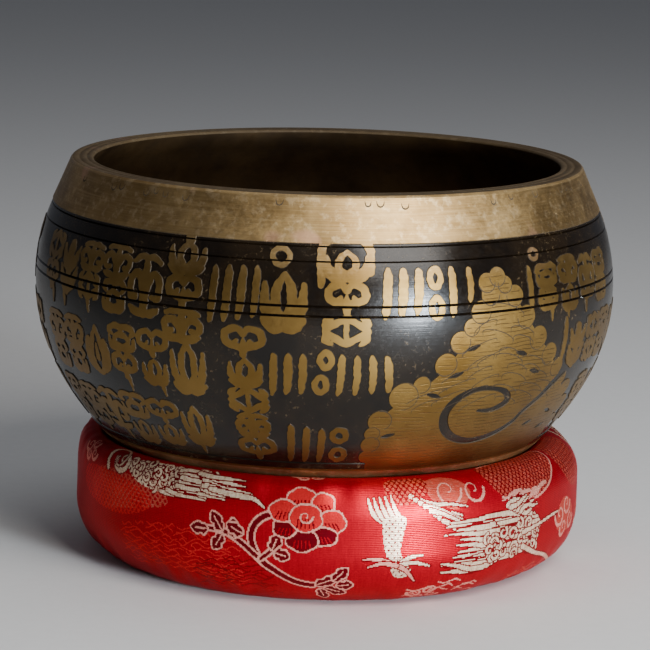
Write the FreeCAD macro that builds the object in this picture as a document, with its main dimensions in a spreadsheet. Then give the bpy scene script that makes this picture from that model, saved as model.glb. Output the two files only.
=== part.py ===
"""A singing bowl standing loose in its ring cushion.

The bowl is one casting of bell metal, turned on a lathe: a plain conical band under a flat rim, a full belly and a
round underside that runs down to a flat base. Between the band and the underside its wall is etched back by a few
tenths of a millimetre, and four fine grooves are turned round it.

The cushion is a ring of wadding inside a cover of two sewn panels. The outer one wraps over the crest, the outside
and the underneath, and its ends meet at the back. The narrow inner one lines the hole.

Frame: millimetres, +Z up along the axis of the bowl, origin on the table at the middle of the cushion.
"""

import FreeCAD
import Part
import math
import os

import Sketcher

# Driving dimensions. Each is a cell of the sheet, under the alias given here.
DIMENSIONS = {
    # bowl
    "rim_outer_radius": 74.6,
    "rim_inner_radius": 68.2,
    "rim_height": 117.0,
    "band_foot_radius": 80.0,
    "band_foot_height": 104.6,
    "belly_radius": 85.0,
    "belly_height": 81.8,
    "belly_arc": 55.0,
    "lower_arc": 79.4,
    "base_radius": 44.3,
    "base_height": 22.0,
    "floor_height": 26.2,
    "wall_thickness": 3.6,
    "etch_depth": 0.25,
    "etch_foot_height": 41.4,
    "groove_depth": 0.45,
    "groove_height_1": 103.9,
    "groove_height_2": 100.0,
    "groove_height_3": 88.2,
    "groove_height_4": 85.5,
    "fine_groove_width": 0.45,
    "bold_groove_width": 0.7,
    "rim_ring_radius_1": 70.1,
    "rim_ring_radius_2": 72.3,
    "rim_ring_width": 0.4,
    "rim_ring_depth": 0.2,
    "rim_fillet": 0.8,
    "base_fillet": 2.0,
    "floor_fillet": 14.0,
    # cushion
    "cushion_radius": 74.0,
    "shoulder_arc": 13.5,
    "shoulder_height": 26.4,
    "foot_arc": 16.5,
    "crest_arc": 2.6,
    "hole_arc": 11.0,
    "bowl_clearance": 0.3,
    "cover_thickness": 0.8,
    "seam_radius": 40.0,
    # thread
    "thread_radius": 0.25,
    "ring_stitch_count": 48,
    "ring_stitch_reach": 1.3,
    "end_stitch_length": 2.6,
}

# Cells worked out in the sheet itself: the centres of the arcs that are tangent to their neighbours.
DERIVED = {
    "belly_centre": "=belly_radius - belly_arc",
    "arc_step": "=lower_arc - belly_arc",
    "base_run": "=base_radius - belly_centre",
    "base_drop": "=base_height - belly_height",
    "base_span": "=sqrt(base_run^2 + base_drop^2)",
    "base_along": "=(arc_step^2 - lower_arc^2 + base_span^2) / (2 * base_span)",
    "base_across": "=sqrt(arc_step^2 - base_along^2)",
    "lower_centre": "=belly_centre + (base_along * base_run + base_across * base_drop) / base_span",
    "lower_height": "=belly_height + (base_along * base_drop - base_across * base_run) / base_span",
    "hollow_arc": "=lower_arc + bowl_clearance",
    "hole_centre": "=lower_centre + sqrt((hollow_arc + hole_arc)^2 - (lower_height - hole_arc)^2)",
    "shoulder_centre": "=cushion_radius - shoulder_arc",
    "foot_centre": "=cushion_radius - foot_arc",
    "crest_run": "=lower_centre - shoulder_centre",
    "crest_drop": "=lower_height - shoulder_height",
    "crest_span": "=sqrt(crest_run^2 + crest_drop^2)",
    "crest_near": "=shoulder_arc - crest_arc",
    "crest_far": "=hollow_arc + crest_arc",
    "crest_along": "=(crest_near^2 - crest_far^2 + crest_span^2) / (2 * crest_span)",
    "crest_across": "=sqrt(crest_near^2 - crest_along^2)",
    "crest_centre": "=shoulder_centre + (crest_along * crest_run + crest_across * crest_drop) / crest_span",
    "crest_height": "=shoulder_height + (crest_along * crest_drop - crest_across * crest_run) / crest_span",
}

START, END, CENTRE = 1, 2, 3
ORIGIN_POINT = (-1, 1)
VERTICAL_AXIS = -2


# ---------------------------------------------------------------- sheet


def make_sheet(doc):
    """The spreadsheet that drives every size."""
    sheet = doc.addObject("Spreadsheet::Sheet", "dims")
    cells = [(alias, str(value)) for alias, value in DIMENSIONS.items()] + list(DERIVED.items())
    for row, (alias, content) in enumerate(cells, start=1):
        sheet.set(f"A{row}", alias)
        sheet.set(f"B{row}", content)
        sheet.setAlias(f"B{row}", alias)
    doc.recompute()
    return sheet


def cell(alias):
    return f"dims.{alias}"


def size(doc, alias):
    """A cell's value, for the first guesses that sketches are drawn with."""
    return float(getattr(doc.dims, alias))


# ---------------------------------------------------------------- sketches


def origin_plane(body, role):
    for feature in body.Origin.OriginFeatures:
        if feature.Role == role:
            return feature
    raise ValueError(f"{body.Label} has no {role}")


def new_body(doc, label):
    body = doc.addObject("PartDesign::Body", label)
    body.Label = label
    return body


def new_sketch(body, name, role="XZ_Plane"):
    """A sketch on one of the body's upright planes: its x is a radius and its y a height."""
    sketch = body.newObject("Sketcher::SketchObject", name)
    sketch.AttachmentSupport = (origin_plane(body, role), [""])
    sketch.MapMode = "FlatFace"
    return sketch


def drive(sketch, name, expression, *constraint):
    """Adds a dimension to the sketch and binds it to the sheet."""
    index = sketch.addConstraint(Sketcher.Constraint(*constraint))
    sketch.renameConstraint(index, name)
    sketch.setExpression(f"Constraints.{name}", expression)


def place(sketch, name, geometry, end, at, radius=None, height=None):
    """Fixes a point drawn at `at`: its radius, its height or both by expressions of the sheet."""
    if radius is not None:
        drive(sketch, f"{name}_r", radius, "DistanceX", *ORIGIN_POINT, geometry, end, at[0])
    if height is not None:
        drive(sketch, f"{name}_z", height, "DistanceY", *ORIGIN_POINT, geometry, end, at[1])


def join(sketch, first, first_end, second, second_end, kind="Coincident"):
    sketch.addConstraint(Sketcher.Constraint(kind, first, first_end, second, second_end))


def smooth(sketch, *ends):
    """Joins two ends and makes the curves tangent there."""
    join(sketch, *ends, kind="Tangent")


def line(sketch, a, b):
    return sketch.addGeometry(Part.LineSegment(FreeCAD.Vector(*a, 0), FreeCAD.Vector(*b, 0)), False)


def arc(sketch, centre, radius, from_degrees, to_degrees):
    """An arc that runs anticlockwise from one angle to the other."""
    circle = Part.Circle(FreeCAD.Vector(*centre, 0), FreeCAD.Vector(0, 0, 1), radius)
    return sketch.addGeometry(
        Part.ArcOfCircle(circle, math.radians(from_degrees), math.radians(to_degrees)), False
    )


def angle_of(centre, at):
    return math.degrees(math.atan2(at[1] - centre[1], at[0] - centre[0]))


def on_arc(centre, radius, height):
    """The point of an arc's right side at a height."""
    return (centre[0] + math.sqrt(radius**2 - (height - centre[1]) ** 2), height)


# ---------------------------------------------------------------- features


def revolve(body, sketch, name):
    feature = body.newObject("PartDesign::Revolution", name)
    feature.Profile = sketch
    feature.ReferenceAxis = (sketch, ["V_Axis"])
    feature.Angle = 360.0
    body.Document.recompute()
    return feature


def groove(body, sketch, name):
    """Turns the profile's shape out of the body, and makes sure that it did."""
    before = body.Shape.Volume
    feature = body.newObject("PartDesign::Groove", name)
    feature.Profile = sketch
    feature.ReferenceAxis = (sketch, ["V_Axis"])
    feature.Angle = 360.0
    body.Document.recompute()
    if body.Shape.Volume >= before:
        raise ValueError(f"{name} cut nothing")
    return feature


def circles(shape, test):
    """Names of the edges that lie on a circle that passes the test."""
    return [
        f"Edge{number}"
        for number, edge in enumerate(shape.Edges, start=1)
        if isinstance(edge.Curve, Part.Circle) and test(edge.Curve)
    ]


def fillet(body, name, edges, alias):
    if not edges:
        raise ValueError(f"{name}: no edge to round")
    base = body.Tip
    feature = body.newObject("PartDesign::Fillet", name)
    feature.Base = (base, edges)
    feature.setExpression("Radius", cell(alias))
    body.Document.recompute()
    return feature


# ---------------------------------------------------------------- bowl


def bowl_profile(body):
    """The bowl's whole section: band, etched wall, plain underside, base and the inside."""
    doc = body.Document
    sketch = new_sketch(body, "bowl_profile")
    belly = (size(doc, "belly_centre"), size(doc, "belly_height"))
    lower = (size(doc, "lower_centre"), size(doc, "lower_height"))
    etch, wall_size = size(doc, "etch_depth"), size(doc, "wall_thickness")
    belly_arc, lower_arc = size(doc, "belly_arc"), size(doc, "lower_arc")
    turn = angle_of(lower, belly)
    rim_in = (size(doc, "rim_inner_radius"), size(doc, "rim_height"))
    rim_out = (size(doc, "rim_outer_radius"), size(doc, "rim_height"))
    band_foot = (size(doc, "band_foot_radius"), size(doc, "band_foot_height"))
    base = (size(doc, "base_radius"), size(doc, "base_height"))
    wall_top = on_arc(belly, belly_arc - etch, band_foot[1])
    wall_foot = on_arc(lower, lower_arc - etch, size(doc, "etch_foot_height"))
    under_top = on_arc(lower, lower_arc, size(doc, "etch_foot_height"))
    floor = on_arc(lower, lower_arc - wall_size, size(doc, "floor_height"))
    lean = angle_of(belly, rim_in) - math.degrees(math.acos((belly_arc - wall_size) / math.dist(belly, rim_in)))
    inner_top = (
        belly[0] + (belly_arc - wall_size) * math.cos(math.radians(lean)),
        belly[1] + (belly_arc - wall_size) * math.sin(math.radians(lean)),
    )

    rim = line(sketch, rim_in, rim_out)
    band = line(sketch, rim_out, band_foot)
    step = line(sketch, band_foot, wall_top)
    wall = arc(sketch, belly, belly_arc - etch, turn, angle_of(belly, wall_top))
    haunch = arc(sketch, lower, lower_arc - etch, angle_of(lower, wall_foot), turn)
    ledge = line(sketch, wall_foot, under_top)
    under = arc(sketch, lower, lower_arc, angle_of(lower, base), angle_of(lower, under_top))
    foot = line(sketch, base, (0, base[1]))
    axis = line(sketch, (0, base[1]), (0, floor[1]))
    inside_floor = line(sketch, (0, floor[1]), floor)
    inside_haunch = arc(sketch, lower, lower_arc - wall_size, angle_of(lower, floor), turn)
    inside_belly = arc(sketch, belly, belly_arc - wall_size, turn, lean)
    inside_band = line(sketch, inner_top, rim_in)

    join(sketch, rim, END, band, START)
    join(sketch, band, END, step, START)
    join(sketch, step, END, wall, END)
    smooth(sketch, wall, START, haunch, END)
    join(sketch, haunch, START, ledge, START)
    join(sketch, ledge, END, under, END)
    join(sketch, under, CENTRE, haunch, CENTRE)
    join(sketch, under, START, foot, START)
    join(sketch, foot, END, axis, START)
    join(sketch, axis, END, inside_floor, START)
    join(sketch, inside_floor, END, inside_haunch, START)
    join(sketch, inside_haunch, CENTRE, haunch, CENTRE)
    smooth(sketch, inside_haunch, END, inside_belly, START)
    join(sketch, inside_belly, CENTRE, wall, CENTRE)
    smooth(sketch, inside_belly, END, inside_band, START)
    join(sketch, inside_band, END, rim, START)
    for level in (step, ledge, foot, inside_floor):
        sketch.addConstraint(Sketcher.Constraint("Horizontal", level))
    for end in (START, END):
        sketch.addConstraint(Sketcher.Constraint("PointOnObject", axis, end, VERTICAL_AXIS))

    etched = f"{cell('belly_arc')} - {cell('etch_depth')}"
    place(sketch, "rim_in", rim, START, rim_in, cell("rim_inner_radius"), cell("rim_height"))
    place(sketch, "rim_out", rim, END, rim_out, cell("rim_outer_radius"), cell("rim_height"))
    place(sketch, "band_foot", band, END, band_foot, cell("band_foot_radius"), cell("band_foot_height"))
    place(sketch, "belly", wall, CENTRE, belly, cell("belly_centre"), cell("belly_height"))
    place(sketch, "etch_foot", ledge, START, wall_foot, height=cell("etch_foot_height"))
    place(sketch, "base", foot, START, base, cell("base_radius"), cell("base_height"))
    place(sketch, "floor", axis, END, floor, height=cell("floor_height"))
    drive(sketch, "wall_arc", etched, "Radius", wall, belly_arc - etch)
    drive(sketch, "under_arc", cell("lower_arc"), "Radius", under, lower_arc)
    drive(sketch, "haunch_arc", f"{cell('lower_arc')} - {cell('etch_depth')}", "Radius", haunch, lower_arc - etch)
    inside = f"{cell('belly_arc')} - {cell('wall_thickness')}"
    drive(sketch, "inside_arc", inside, "Radius", inside_belly, belly_arc - wall_size)
    return sketch


def notch(sketch, name, corners):
    """A closed triangle. Each corner is its first guess, then expressions for its radius and its height."""
    count = len(corners)
    sides = [line(sketch, corners[i][0], corners[(i + 1) % count][0]) for i in range(count)]
    for i, side in enumerate(sides):
        join(sketch, side, END, sides[(i + 1) % count], START)
        at, radius, height = corners[i]
        place(sketch, f"{name}_{i}", side, START, at, radius, height)


def wall_grooves(body):
    """Four V grooves turned into the etched wall: a fine pair under the band and a bold pair at the belly."""
    doc = body.Document
    sketch = new_sketch(body, "wall_groove_profile")
    etched = size(doc, "belly_arc") - size(doc, "etch_depth")
    deep = size(doc, "groove_depth")
    proud = 0.2
    for number, width in enumerate(("fine", "fine", "bold", "bold"), start=1):
        height = size(doc, f"groove_height_{number}")
        radius = on_arc((size(doc, "belly_centre"), size(doc, "belly_height")), etched, height)[0]
        half = size(doc, f"{width}_groove_width") / 2
        at = cell(f"groove_height_{number}")
        reach = f"sqrt(({cell('belly_arc')} - {cell('etch_depth')})^2 - ({at} - {cell('belly_height')})^2)"
        surface = f"{cell('belly_centre')} + {reach}"
        spread = f"{cell(f'{width}_groove_width')} / 2"
        corners = [
            ((radius - deep, height), f"{surface} - {cell('groove_depth')}", at),
            ((radius + proud, height - half), f"{surface} + {proud}", f"{at} - {spread}"),
            ((radius + proud, height + half), f"{surface} + {proud}", f"{at} + {spread}"),
        ]
        notch(sketch, f"groove_{number}", corners)
    return sketch


def rim_rings(body):
    """Two hairline rings left by the lathe in the flat of the rim."""
    doc = body.Document
    sketch = new_sketch(body, "rim_ring_profile")
    half = size(doc, "rim_ring_width") / 2
    top = size(doc, "rim_height")
    for number in (1, 2):
        radius = size(doc, f"rim_ring_radius_{number}")
        at = cell(f"rim_ring_radius_{number}")
        spread = f"{cell('rim_ring_width')} / 2"
        bottom = f"{cell('rim_height')} - {cell('rim_ring_depth')}"
        corners = [
            ((radius, top - size(doc, "rim_ring_depth")), at, bottom),
            ((radius + half, top), f"{at} + {spread}", cell("rim_height")),
            ((radius - half, top), f"{at} - {spread}", cell("rim_height")),
        ]
        notch(sketch, f"ring_{number}", corners)
    return sketch


def make_bowl(doc):
    body = new_body(doc, "bowl")
    revolve(body, bowl_profile(body), "bowl_casting")
    groove(body, wall_grooves(body), "wall_grooves")
    groove(body, rim_rings(body), "rim_grooves")

    rim_radii = [size(doc, "rim_inner_radius"), size(doc, "rim_outer_radius")]
    heights = {name: size(doc, f"{name}_height") for name in ("rim", "base", "floor")}
    near = 0.01

    def at_rim(curve):
        level = abs(curve.Center.z - heights["rim"]) < near
        return level and any(abs(curve.Radius - radius) < near for radius in rim_radii)

    fillet(body, "rim_rounding", circles(body.Shape, at_rim), "rim_fillet")
    for name in ("base", "floor"):
        edges = circles(body.Shape, lambda curve: abs(curve.Center.z - heights[name]) < near)
        fillet(body, f"{name}_rounding", edges, f"{name}_fillet")
    return body


# ---------------------------------------------------------------- cushion


def ring_section(body, name, inset=False):
    """The ring's section, or the same section a cover's thickness further in.

    It runs along the table, up the foot, the side and the shoulder, over the crest, down the hollow that follows
    the bowl and round the hole. The arcs of the inset section keep their centres."""
    doc = body.Document
    sketch = new_sketch(body, name)
    shift = size(doc, "cover_thickness") if inset else 0.0
    less = f" - {cell('cover_thickness')}" if inset else ""
    more = f" + {cell('cover_thickness')}" if inset else ""
    radii = {key: size(doc, f"{key}_arc") - shift for key in ("foot", "shoulder", "crest", "hole")}
    hollow_radius = size(doc, "hollow_arc") + shift
    foot_at = (size(doc, "foot_centre"), size(doc, "foot_arc"))
    shoulder_at = (size(doc, "shoulder_centre"), size(doc, "shoulder_height"))
    crest_at = (size(doc, "crest_centre"), size(doc, "crest_height"))
    hollow_at = (size(doc, "lower_centre"), size(doc, "lower_height"))
    hole_at = (size(doc, "hole_centre"), size(doc, "hole_arc"))
    outer = size(doc, "cushion_radius") - shift
    shoulder_end = angle_of(shoulder_at, crest_at)
    crest_end = angle_of(hollow_at, crest_at)
    mouth = angle_of(hollow_at, hole_at)

    table = line(sketch, (hole_at[0], shift), (foot_at[0], shift))
    foot = arc(sketch, foot_at, radii["foot"], -90, 0)
    side = line(sketch, (outer, foot_at[1]), (outer, shoulder_at[1]))
    shoulder = arc(sketch, shoulder_at, radii["shoulder"], 0, shoulder_end)
    crest = arc(sketch, crest_at, radii["crest"], shoulder_end, crest_end + 180)
    hollow = arc(sketch, hollow_at, hollow_radius, mouth, crest_end)
    hole = arc(sketch, hole_at, radii["hole"], mouth + 180, 270)

    smooth(sketch, table, END, foot, START)
    smooth(sketch, foot, END, side, START)
    smooth(sketch, side, END, shoulder, START)
    smooth(sketch, shoulder, END, crest, START)
    smooth(sketch, crest, END, hollow, END)
    smooth(sketch, hollow, START, hole, START)
    smooth(sketch, hole, END, table, START)
    sketch.addConstraint(Sketcher.Constraint("Horizontal", table))
    sketch.addConstraint(Sketcher.Constraint("Vertical", side))
    place(sketch, "foot", foot, CENTRE, foot_at, cell("foot_centre"), cell("foot_arc"))
    place(sketch, "shoulder", shoulder, CENTRE, shoulder_at, cell("shoulder_centre"), cell("shoulder_height"))
    place(sketch, "hollow", hollow, CENTRE, hollow_at, cell("lower_centre"), cell("lower_height"))
    for key, geometry in (("foot", foot), ("crest", crest), ("hole", hole)):
        drive(sketch, f"{key}_size", f"{cell(f'{key}_arc')}{less}", "Radius", geometry, radii[key])
    drive(sketch, "hollow_size", f"{cell('hollow_arc')}{more}", "Radius", hollow, hollow_radius)
    return sketch


def seam_cut(body, name, inner, outer):
    """A rectangle from one radius to another, each an expression with its value, as tall as the ring and more."""
    sketch = new_sketch(body, name)
    low, high = -5.0, 60.0
    corners = [(inner[1], low), (outer[1], low), (outer[1], high), (inner[1], high)]
    sides = [line(sketch, corners[i], corners[(i + 1) % 4]) for i in range(4)]
    for i, side in enumerate(sides):
        join(sketch, side, END, sides[(i + 1) % 4], START)
        sketch.addConstraint(Sketcher.Constraint("Horizontal" if i % 2 == 0 else "Vertical", side))
    place(sketch, "low", sides[0], START, corners[0], inner[0], str(low))
    place(sketch, "high", sides[1], END, corners[2], outer[0], str(high))
    return sketch


def make_panel(doc, label, outside):
    """One panel of the cover: the part of the ring's skin outside the seams, or the part inside them."""
    body = new_body(doc, label)
    revolve(body, ring_section(body, f"{label}_face"), f"{label}_ring")
    groove(body, ring_section(body, f"{label}_back", inset=True), f"{label}_skin")
    seam = (cell("seam_radius"), size(doc, "seam_radius"))
    beyond = (f"{cell('cushion_radius')} + 5", size(doc, "cushion_radius") + 5)
    span = ((str(0.0), 0.0), seam) if outside else (seam, beyond)
    groove(body, seam_cut(body, f"{label}_edge", *span), f"{label}_trim")
    return body


def make_filling(doc):
    body = new_body(doc, "cushion_filling")
    revolve(body, ring_section(body, "filling_profile", inset=True), "filling_ring")
    return body


# ---------------------------------------------------------------- thread


def make_ring_stitches(doc, label, above):
    """Whip stitches right round the hole, over the upper or the lower edge of the inner panel.

    Each is a piece of a thin ring about the middle of the hole's rounding, half sunk in the cloth."""
    centre, rounding = size(doc, "hole_centre"), size(doc, "hole_arc")
    count = int(size(doc, "ring_stitch_count"))
    swing = math.degrees(size(doc, "ring_stitch_reach") / rounding)
    seam = math.degrees(math.acos((size(doc, "seam_radius") - centre) / rounding))
    first = math.radians((seam if above else -seam) - swing)
    up = FreeCAD.Vector(0, 0, 1)
    stitches = []
    for number in range(count):
        turn = 2 * math.pi * (number + 0.5) / count
        outward = FreeCAD.Vector(math.cos(turn), math.sin(turn), 0)
        axis = outward.cross(up)
        start = outward * math.cos(first) + up * math.sin(first)
        stitch = doc.addObject("Part::Torus", f"{label}_{number}")
        stitch.setExpression("Radius1", cell("hole_arc"))
        stitch.setExpression("Radius2", cell("thread_radius"))
        stitch.setExpression("Angle3", f"{cell('ring_stitch_reach')} / {cell('hole_arc')} * 360 / pi")
        stitch.Placement = FreeCAD.Placement(
            outward * centre + up * rounding, FreeCAD.Rotation(start, axis.cross(start), axis, "ZXY")
        )
        stitches.append(stitch)
    group = doc.addObject("Part::Compound", label)
    group.Label = label
    group.Links = stitches
    doc.recompute()
    return group


def make_end_stitches(doc):
    """The row of stitches that closes the two ends of the outer panel, down the outside at the back."""
    body = new_body(doc, "cushion_end_stitches")
    sketch = new_sketch(body, "end_stitch_profile", "YZ_Plane")
    thread = size(doc, "thread_radius")
    places = [("shoulder", "shoulder_height", degrees) for degrees in range(48, 0, -12)]
    places += [("foot", "foot_arc", degrees) for degrees in range(0, -60, -10)]
    for number, (part, level, degrees) in enumerate(places, start=1):
        reach, turn = size(doc, f"{part}_arc"), math.radians(degrees)
        at = (size(doc, f"{part}_centre") + reach * math.cos(turn), size(doc, level) + reach * math.sin(turn))
        circle = Part.Circle(FreeCAD.Vector(*at, 0), FreeCAD.Vector(0, 0, 1), thread)
        ring = sketch.addGeometry(circle, False)
        radius = f"{cell(f'{part}_centre')} + {cell(f'{part}_arc')} * cos({degrees} deg)"
        height = f"{cell(level)} + {cell(f'{part}_arc')} * sin({degrees} deg)"
        place(sketch, f"stitch_{number}", ring, CENTRE, at, radius, height)
        drive(sketch, f"thread_{number}", cell("thread_radius"), "Radius", ring, thread)
    pad = body.newObject("PartDesign::Pad", "end_stitch_thread")
    pad.Profile = sketch
    pad.SideType = "Symmetric"
    pad.setExpression("Length", cell("end_stitch_length"))
    doc.recompute()
    return body


# ---------------------------------------------------------------- document


def check(doc, bodies):
    for item in doc.Objects:
        bad = [state for state in item.State if state in ("Invalid", "Error")]
        if bad:
            raise ValueError(f"{item.Name}: {bad}")
    for body in bodies:
        if body.Shape.isNull() or not body.Shape.isValid() or body.Shape.Volume <= 0:
            raise ValueError(f"{body.Label}: its shape is not sound")


def main():
    os.makedirs("parts", exist_ok=True)
    doc = FreeCAD.newDocument("singing_bowl")
    make_sheet(doc)
    bodies = [
        make_bowl(doc),
        make_panel(doc, "cushion_outer_panel", outside=True),
        make_panel(doc, "cushion_inner_panel", outside=False),
        make_filling(doc),
        make_ring_stitches(doc, "cushion_upper_stitches", above=True),
        make_ring_stitches(doc, "cushion_lower_stitches", above=False),
        make_end_stitches(doc),
    ]
    doc.recompute()
    check(doc, bodies)
    for body in bodies:
        box = body.Shape.optimalBoundingBox()
        body.Shape.exportStep(f"parts/{body.Label}.step")
        print(
            f"{body.Label}: {len(body.Shape.Solids)} solids, {body.Shape.Volume / 1000:.2f} cm3, "
            f"z {box.ZMin:.2f} to {box.ZMax:.2f}, r {box.XMax:.2f}"
        )


main()
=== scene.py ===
"""The singing bowl on its ring cushion. Lengths are in millimetres until a mesh is made, and then in metres. Angles
phi run round the axis from the front (-Y) towards +X, and s runs down a section's outline."""

import math

import bpy
import numpy as np
from mathutils import Matrix, Vector
from mathutils.geometry import delaunay_2d_cdt


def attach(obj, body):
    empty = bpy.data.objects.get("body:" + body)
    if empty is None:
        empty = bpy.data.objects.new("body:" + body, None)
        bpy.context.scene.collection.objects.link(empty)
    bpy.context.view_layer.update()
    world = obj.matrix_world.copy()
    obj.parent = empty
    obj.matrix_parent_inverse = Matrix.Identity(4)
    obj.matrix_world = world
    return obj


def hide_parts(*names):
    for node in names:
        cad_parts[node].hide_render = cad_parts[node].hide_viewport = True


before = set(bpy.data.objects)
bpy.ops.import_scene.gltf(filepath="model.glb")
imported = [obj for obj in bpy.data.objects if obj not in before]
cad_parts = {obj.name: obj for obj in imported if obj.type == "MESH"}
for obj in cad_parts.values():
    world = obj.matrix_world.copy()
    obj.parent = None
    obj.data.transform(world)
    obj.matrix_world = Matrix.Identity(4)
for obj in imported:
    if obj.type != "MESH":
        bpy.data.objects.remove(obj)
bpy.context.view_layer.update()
MM = 0.001
SECTORS = 240
NEAR = 1e-3

# ---- sections of the turned shapes


def around(centre, radius, degrees):
    """Points on a circle at the given angles."""
    turn = np.radians(degrees)
    return np.stack([centre[0] + radius * np.cos(turn), centre[1] + radius * np.sin(turn)], 1)


def arc(centre, radius, start, end, step):
    """Points of an arc between two angles in degrees, either way round, step millimetres apart."""
    count = max(2, int(abs(end - start) * math.pi / 180 * radius / step) + 1)
    return around(centre, radius, np.linspace(start, end, count))


def angle(centre, point):
    return math.degrees(math.atan2(point[1] - centre[1], point[0] - centre[0]))


def meet(first, first_reach, second, second_reach, near):
    """The point at given distances from two centres, the one nearest to a third point."""
    first, second = np.array(first), np.array(second)
    gap = second - first
    span = np.hypot(*gap)
    along = (first_reach**2 - second_reach**2 + span**2) / (2 * span)
    across = math.sqrt(first_reach**2 - along**2)
    unit = gap / span
    side = np.array([unit[1], -unit[0]])
    return min((first + along * unit + k * across * side for k in (1, -1)), key=lambda p: np.hypot(*(p - near)))


class Outline:
    """A section's outline as a polyline by arc length, with its outward normals."""

    def __init__(self, points, start=0.0):
        points = np.asarray(points, float)
        keep = np.r_[True, np.hypot(*np.diff(points, axis=0).T) > 1e-6]
        self.points = points[keep]
        self.s = start + np.r_[0, np.cumsum(np.hypot(*np.diff(self.points, axis=0).T))]
        along = np.gradient(self.points, self.s, axis=0)
        along /= np.hypot(*along.T)[:, None]
        self.normals = np.stack([-along[:, 1], along[:, 0]], 1)

    def at(self, s):
        return np.interp(s, self.s, self.points[:, 0]), np.interp(s, self.s, self.points[:, 1])

    def normal(self, s):
        n = np.stack([np.interp(s, self.s, self.normals[:, k]) for k in (0, 1)], -1)
        return n / np.linalg.norm(n, axis=-1, keepdims=True)


# The bowl's section: the belly's arc meets the lower arc at the angle TURN.
RIM_Z, BASE_Z, THICKNESS, FLOOR_T = 117.0, 22.0, 3.6, 4.2
RIM_OUT, RIM_IN, BAND_FOOT = (74.6, RIM_Z), (68.2, RIM_Z), (80.0, 104.6)
BELLY, BELLY_ARC = (30.0, 81.8), 55.0
BASE, LOWER_ARC = (44.3, BASE_Z), 79.4
LOWER = tuple(meet(BELLY, LOWER_ARC - BELLY_ARC, BASE, LOWER_ARC, (8, 92)))
TURN = angle(LOWER, BELLY)
BELLY_R = 85.0
PER_DEGREE = math.pi / 180 * BELLY_R
# The etched ground's depth, the run of its walls, the grooves' and the scratches' depth, and the heights and half
# widths of the grooves.
ETCH, WALL_RUN, GROOVE_DEPTH, SCRATCH_DEPTH = 0.25, 0.16, 0.45, 0.05
GROOVE_HEIGHTS = ((103.9, 0.24), (100, 0.24), (88.2, 0.36), (85.5, 0.36))
ETCH_FOOT_Z = 41.4
SKIN_TOP = 0.8


def outer_wall():
    """The unetched outside from just under the rim's rounding to the base's rounding."""
    lip, foot = np.array(RIM_OUT), np.array(BAND_FOOT)
    slope = (foot - lip) / np.hypot(*(foot - lip))
    band = [lip + slope * k for k in np.arange(SKIN_TOP, np.hypot(*(foot - lip)), 0.4)]
    belly = arc(BELLY, BELLY_ARC, angle(BELLY, BAND_FOOT), TURN, 0.25)
    lower = arc(LOWER, LOWER_ARC, TURN, angle(LOWER, BASE) + 1.2, 0.25)
    return Outline(np.vstack([band, belly, lower]), start=SKIN_TOP)


WALL = outer_wall()


def wall_s(z):
    return float(np.interp(-z, -WALL.points[:, 1], WALL.s))


BAND_S, ETCH_END = wall_s(BAND_FOOT[1]), wall_s(ETCH_FOOT_Z)
SKIN_END = ETCH_END + 2.5
GROOVES = [(wall_s(z), half) for z, half in GROOVE_HEIGHTS]

# ---- drawing


def smooth_path(points, closed=False, step=0.7):
    """A Catmull-Rom curve through points of any number of columns, of which the first two are x and y."""
    p = np.asarray(points, float)
    count = len(p)
    if count == 2 and not closed:
        return p
    runs = count if closed else count - 1
    out = []
    for i in range(runs):
        if closed:
            a, b, c, d = (p[(i + k) % count] for k in (-1, 0, 1, 2))
        else:
            a, b, c, d = p[max(i - 1, 0)], p[i], p[i + 1], p[min(i + 2, count - 1)]
        n = max(2, int(np.hypot(*(c - b)[:2]) / step) + 1)
        t = np.linspace(0, 1, n, endpoint=False)[:, None]
        out.append(0.5 * (2 * b + (c - a) * t + (2 * a - 5 * b + 4 * c - d) * t**2 + (3 * b - a - 3 * c + d) * t**3))
    if not closed:
        out.append(p[-1:])
    return np.vstack(out)


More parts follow.
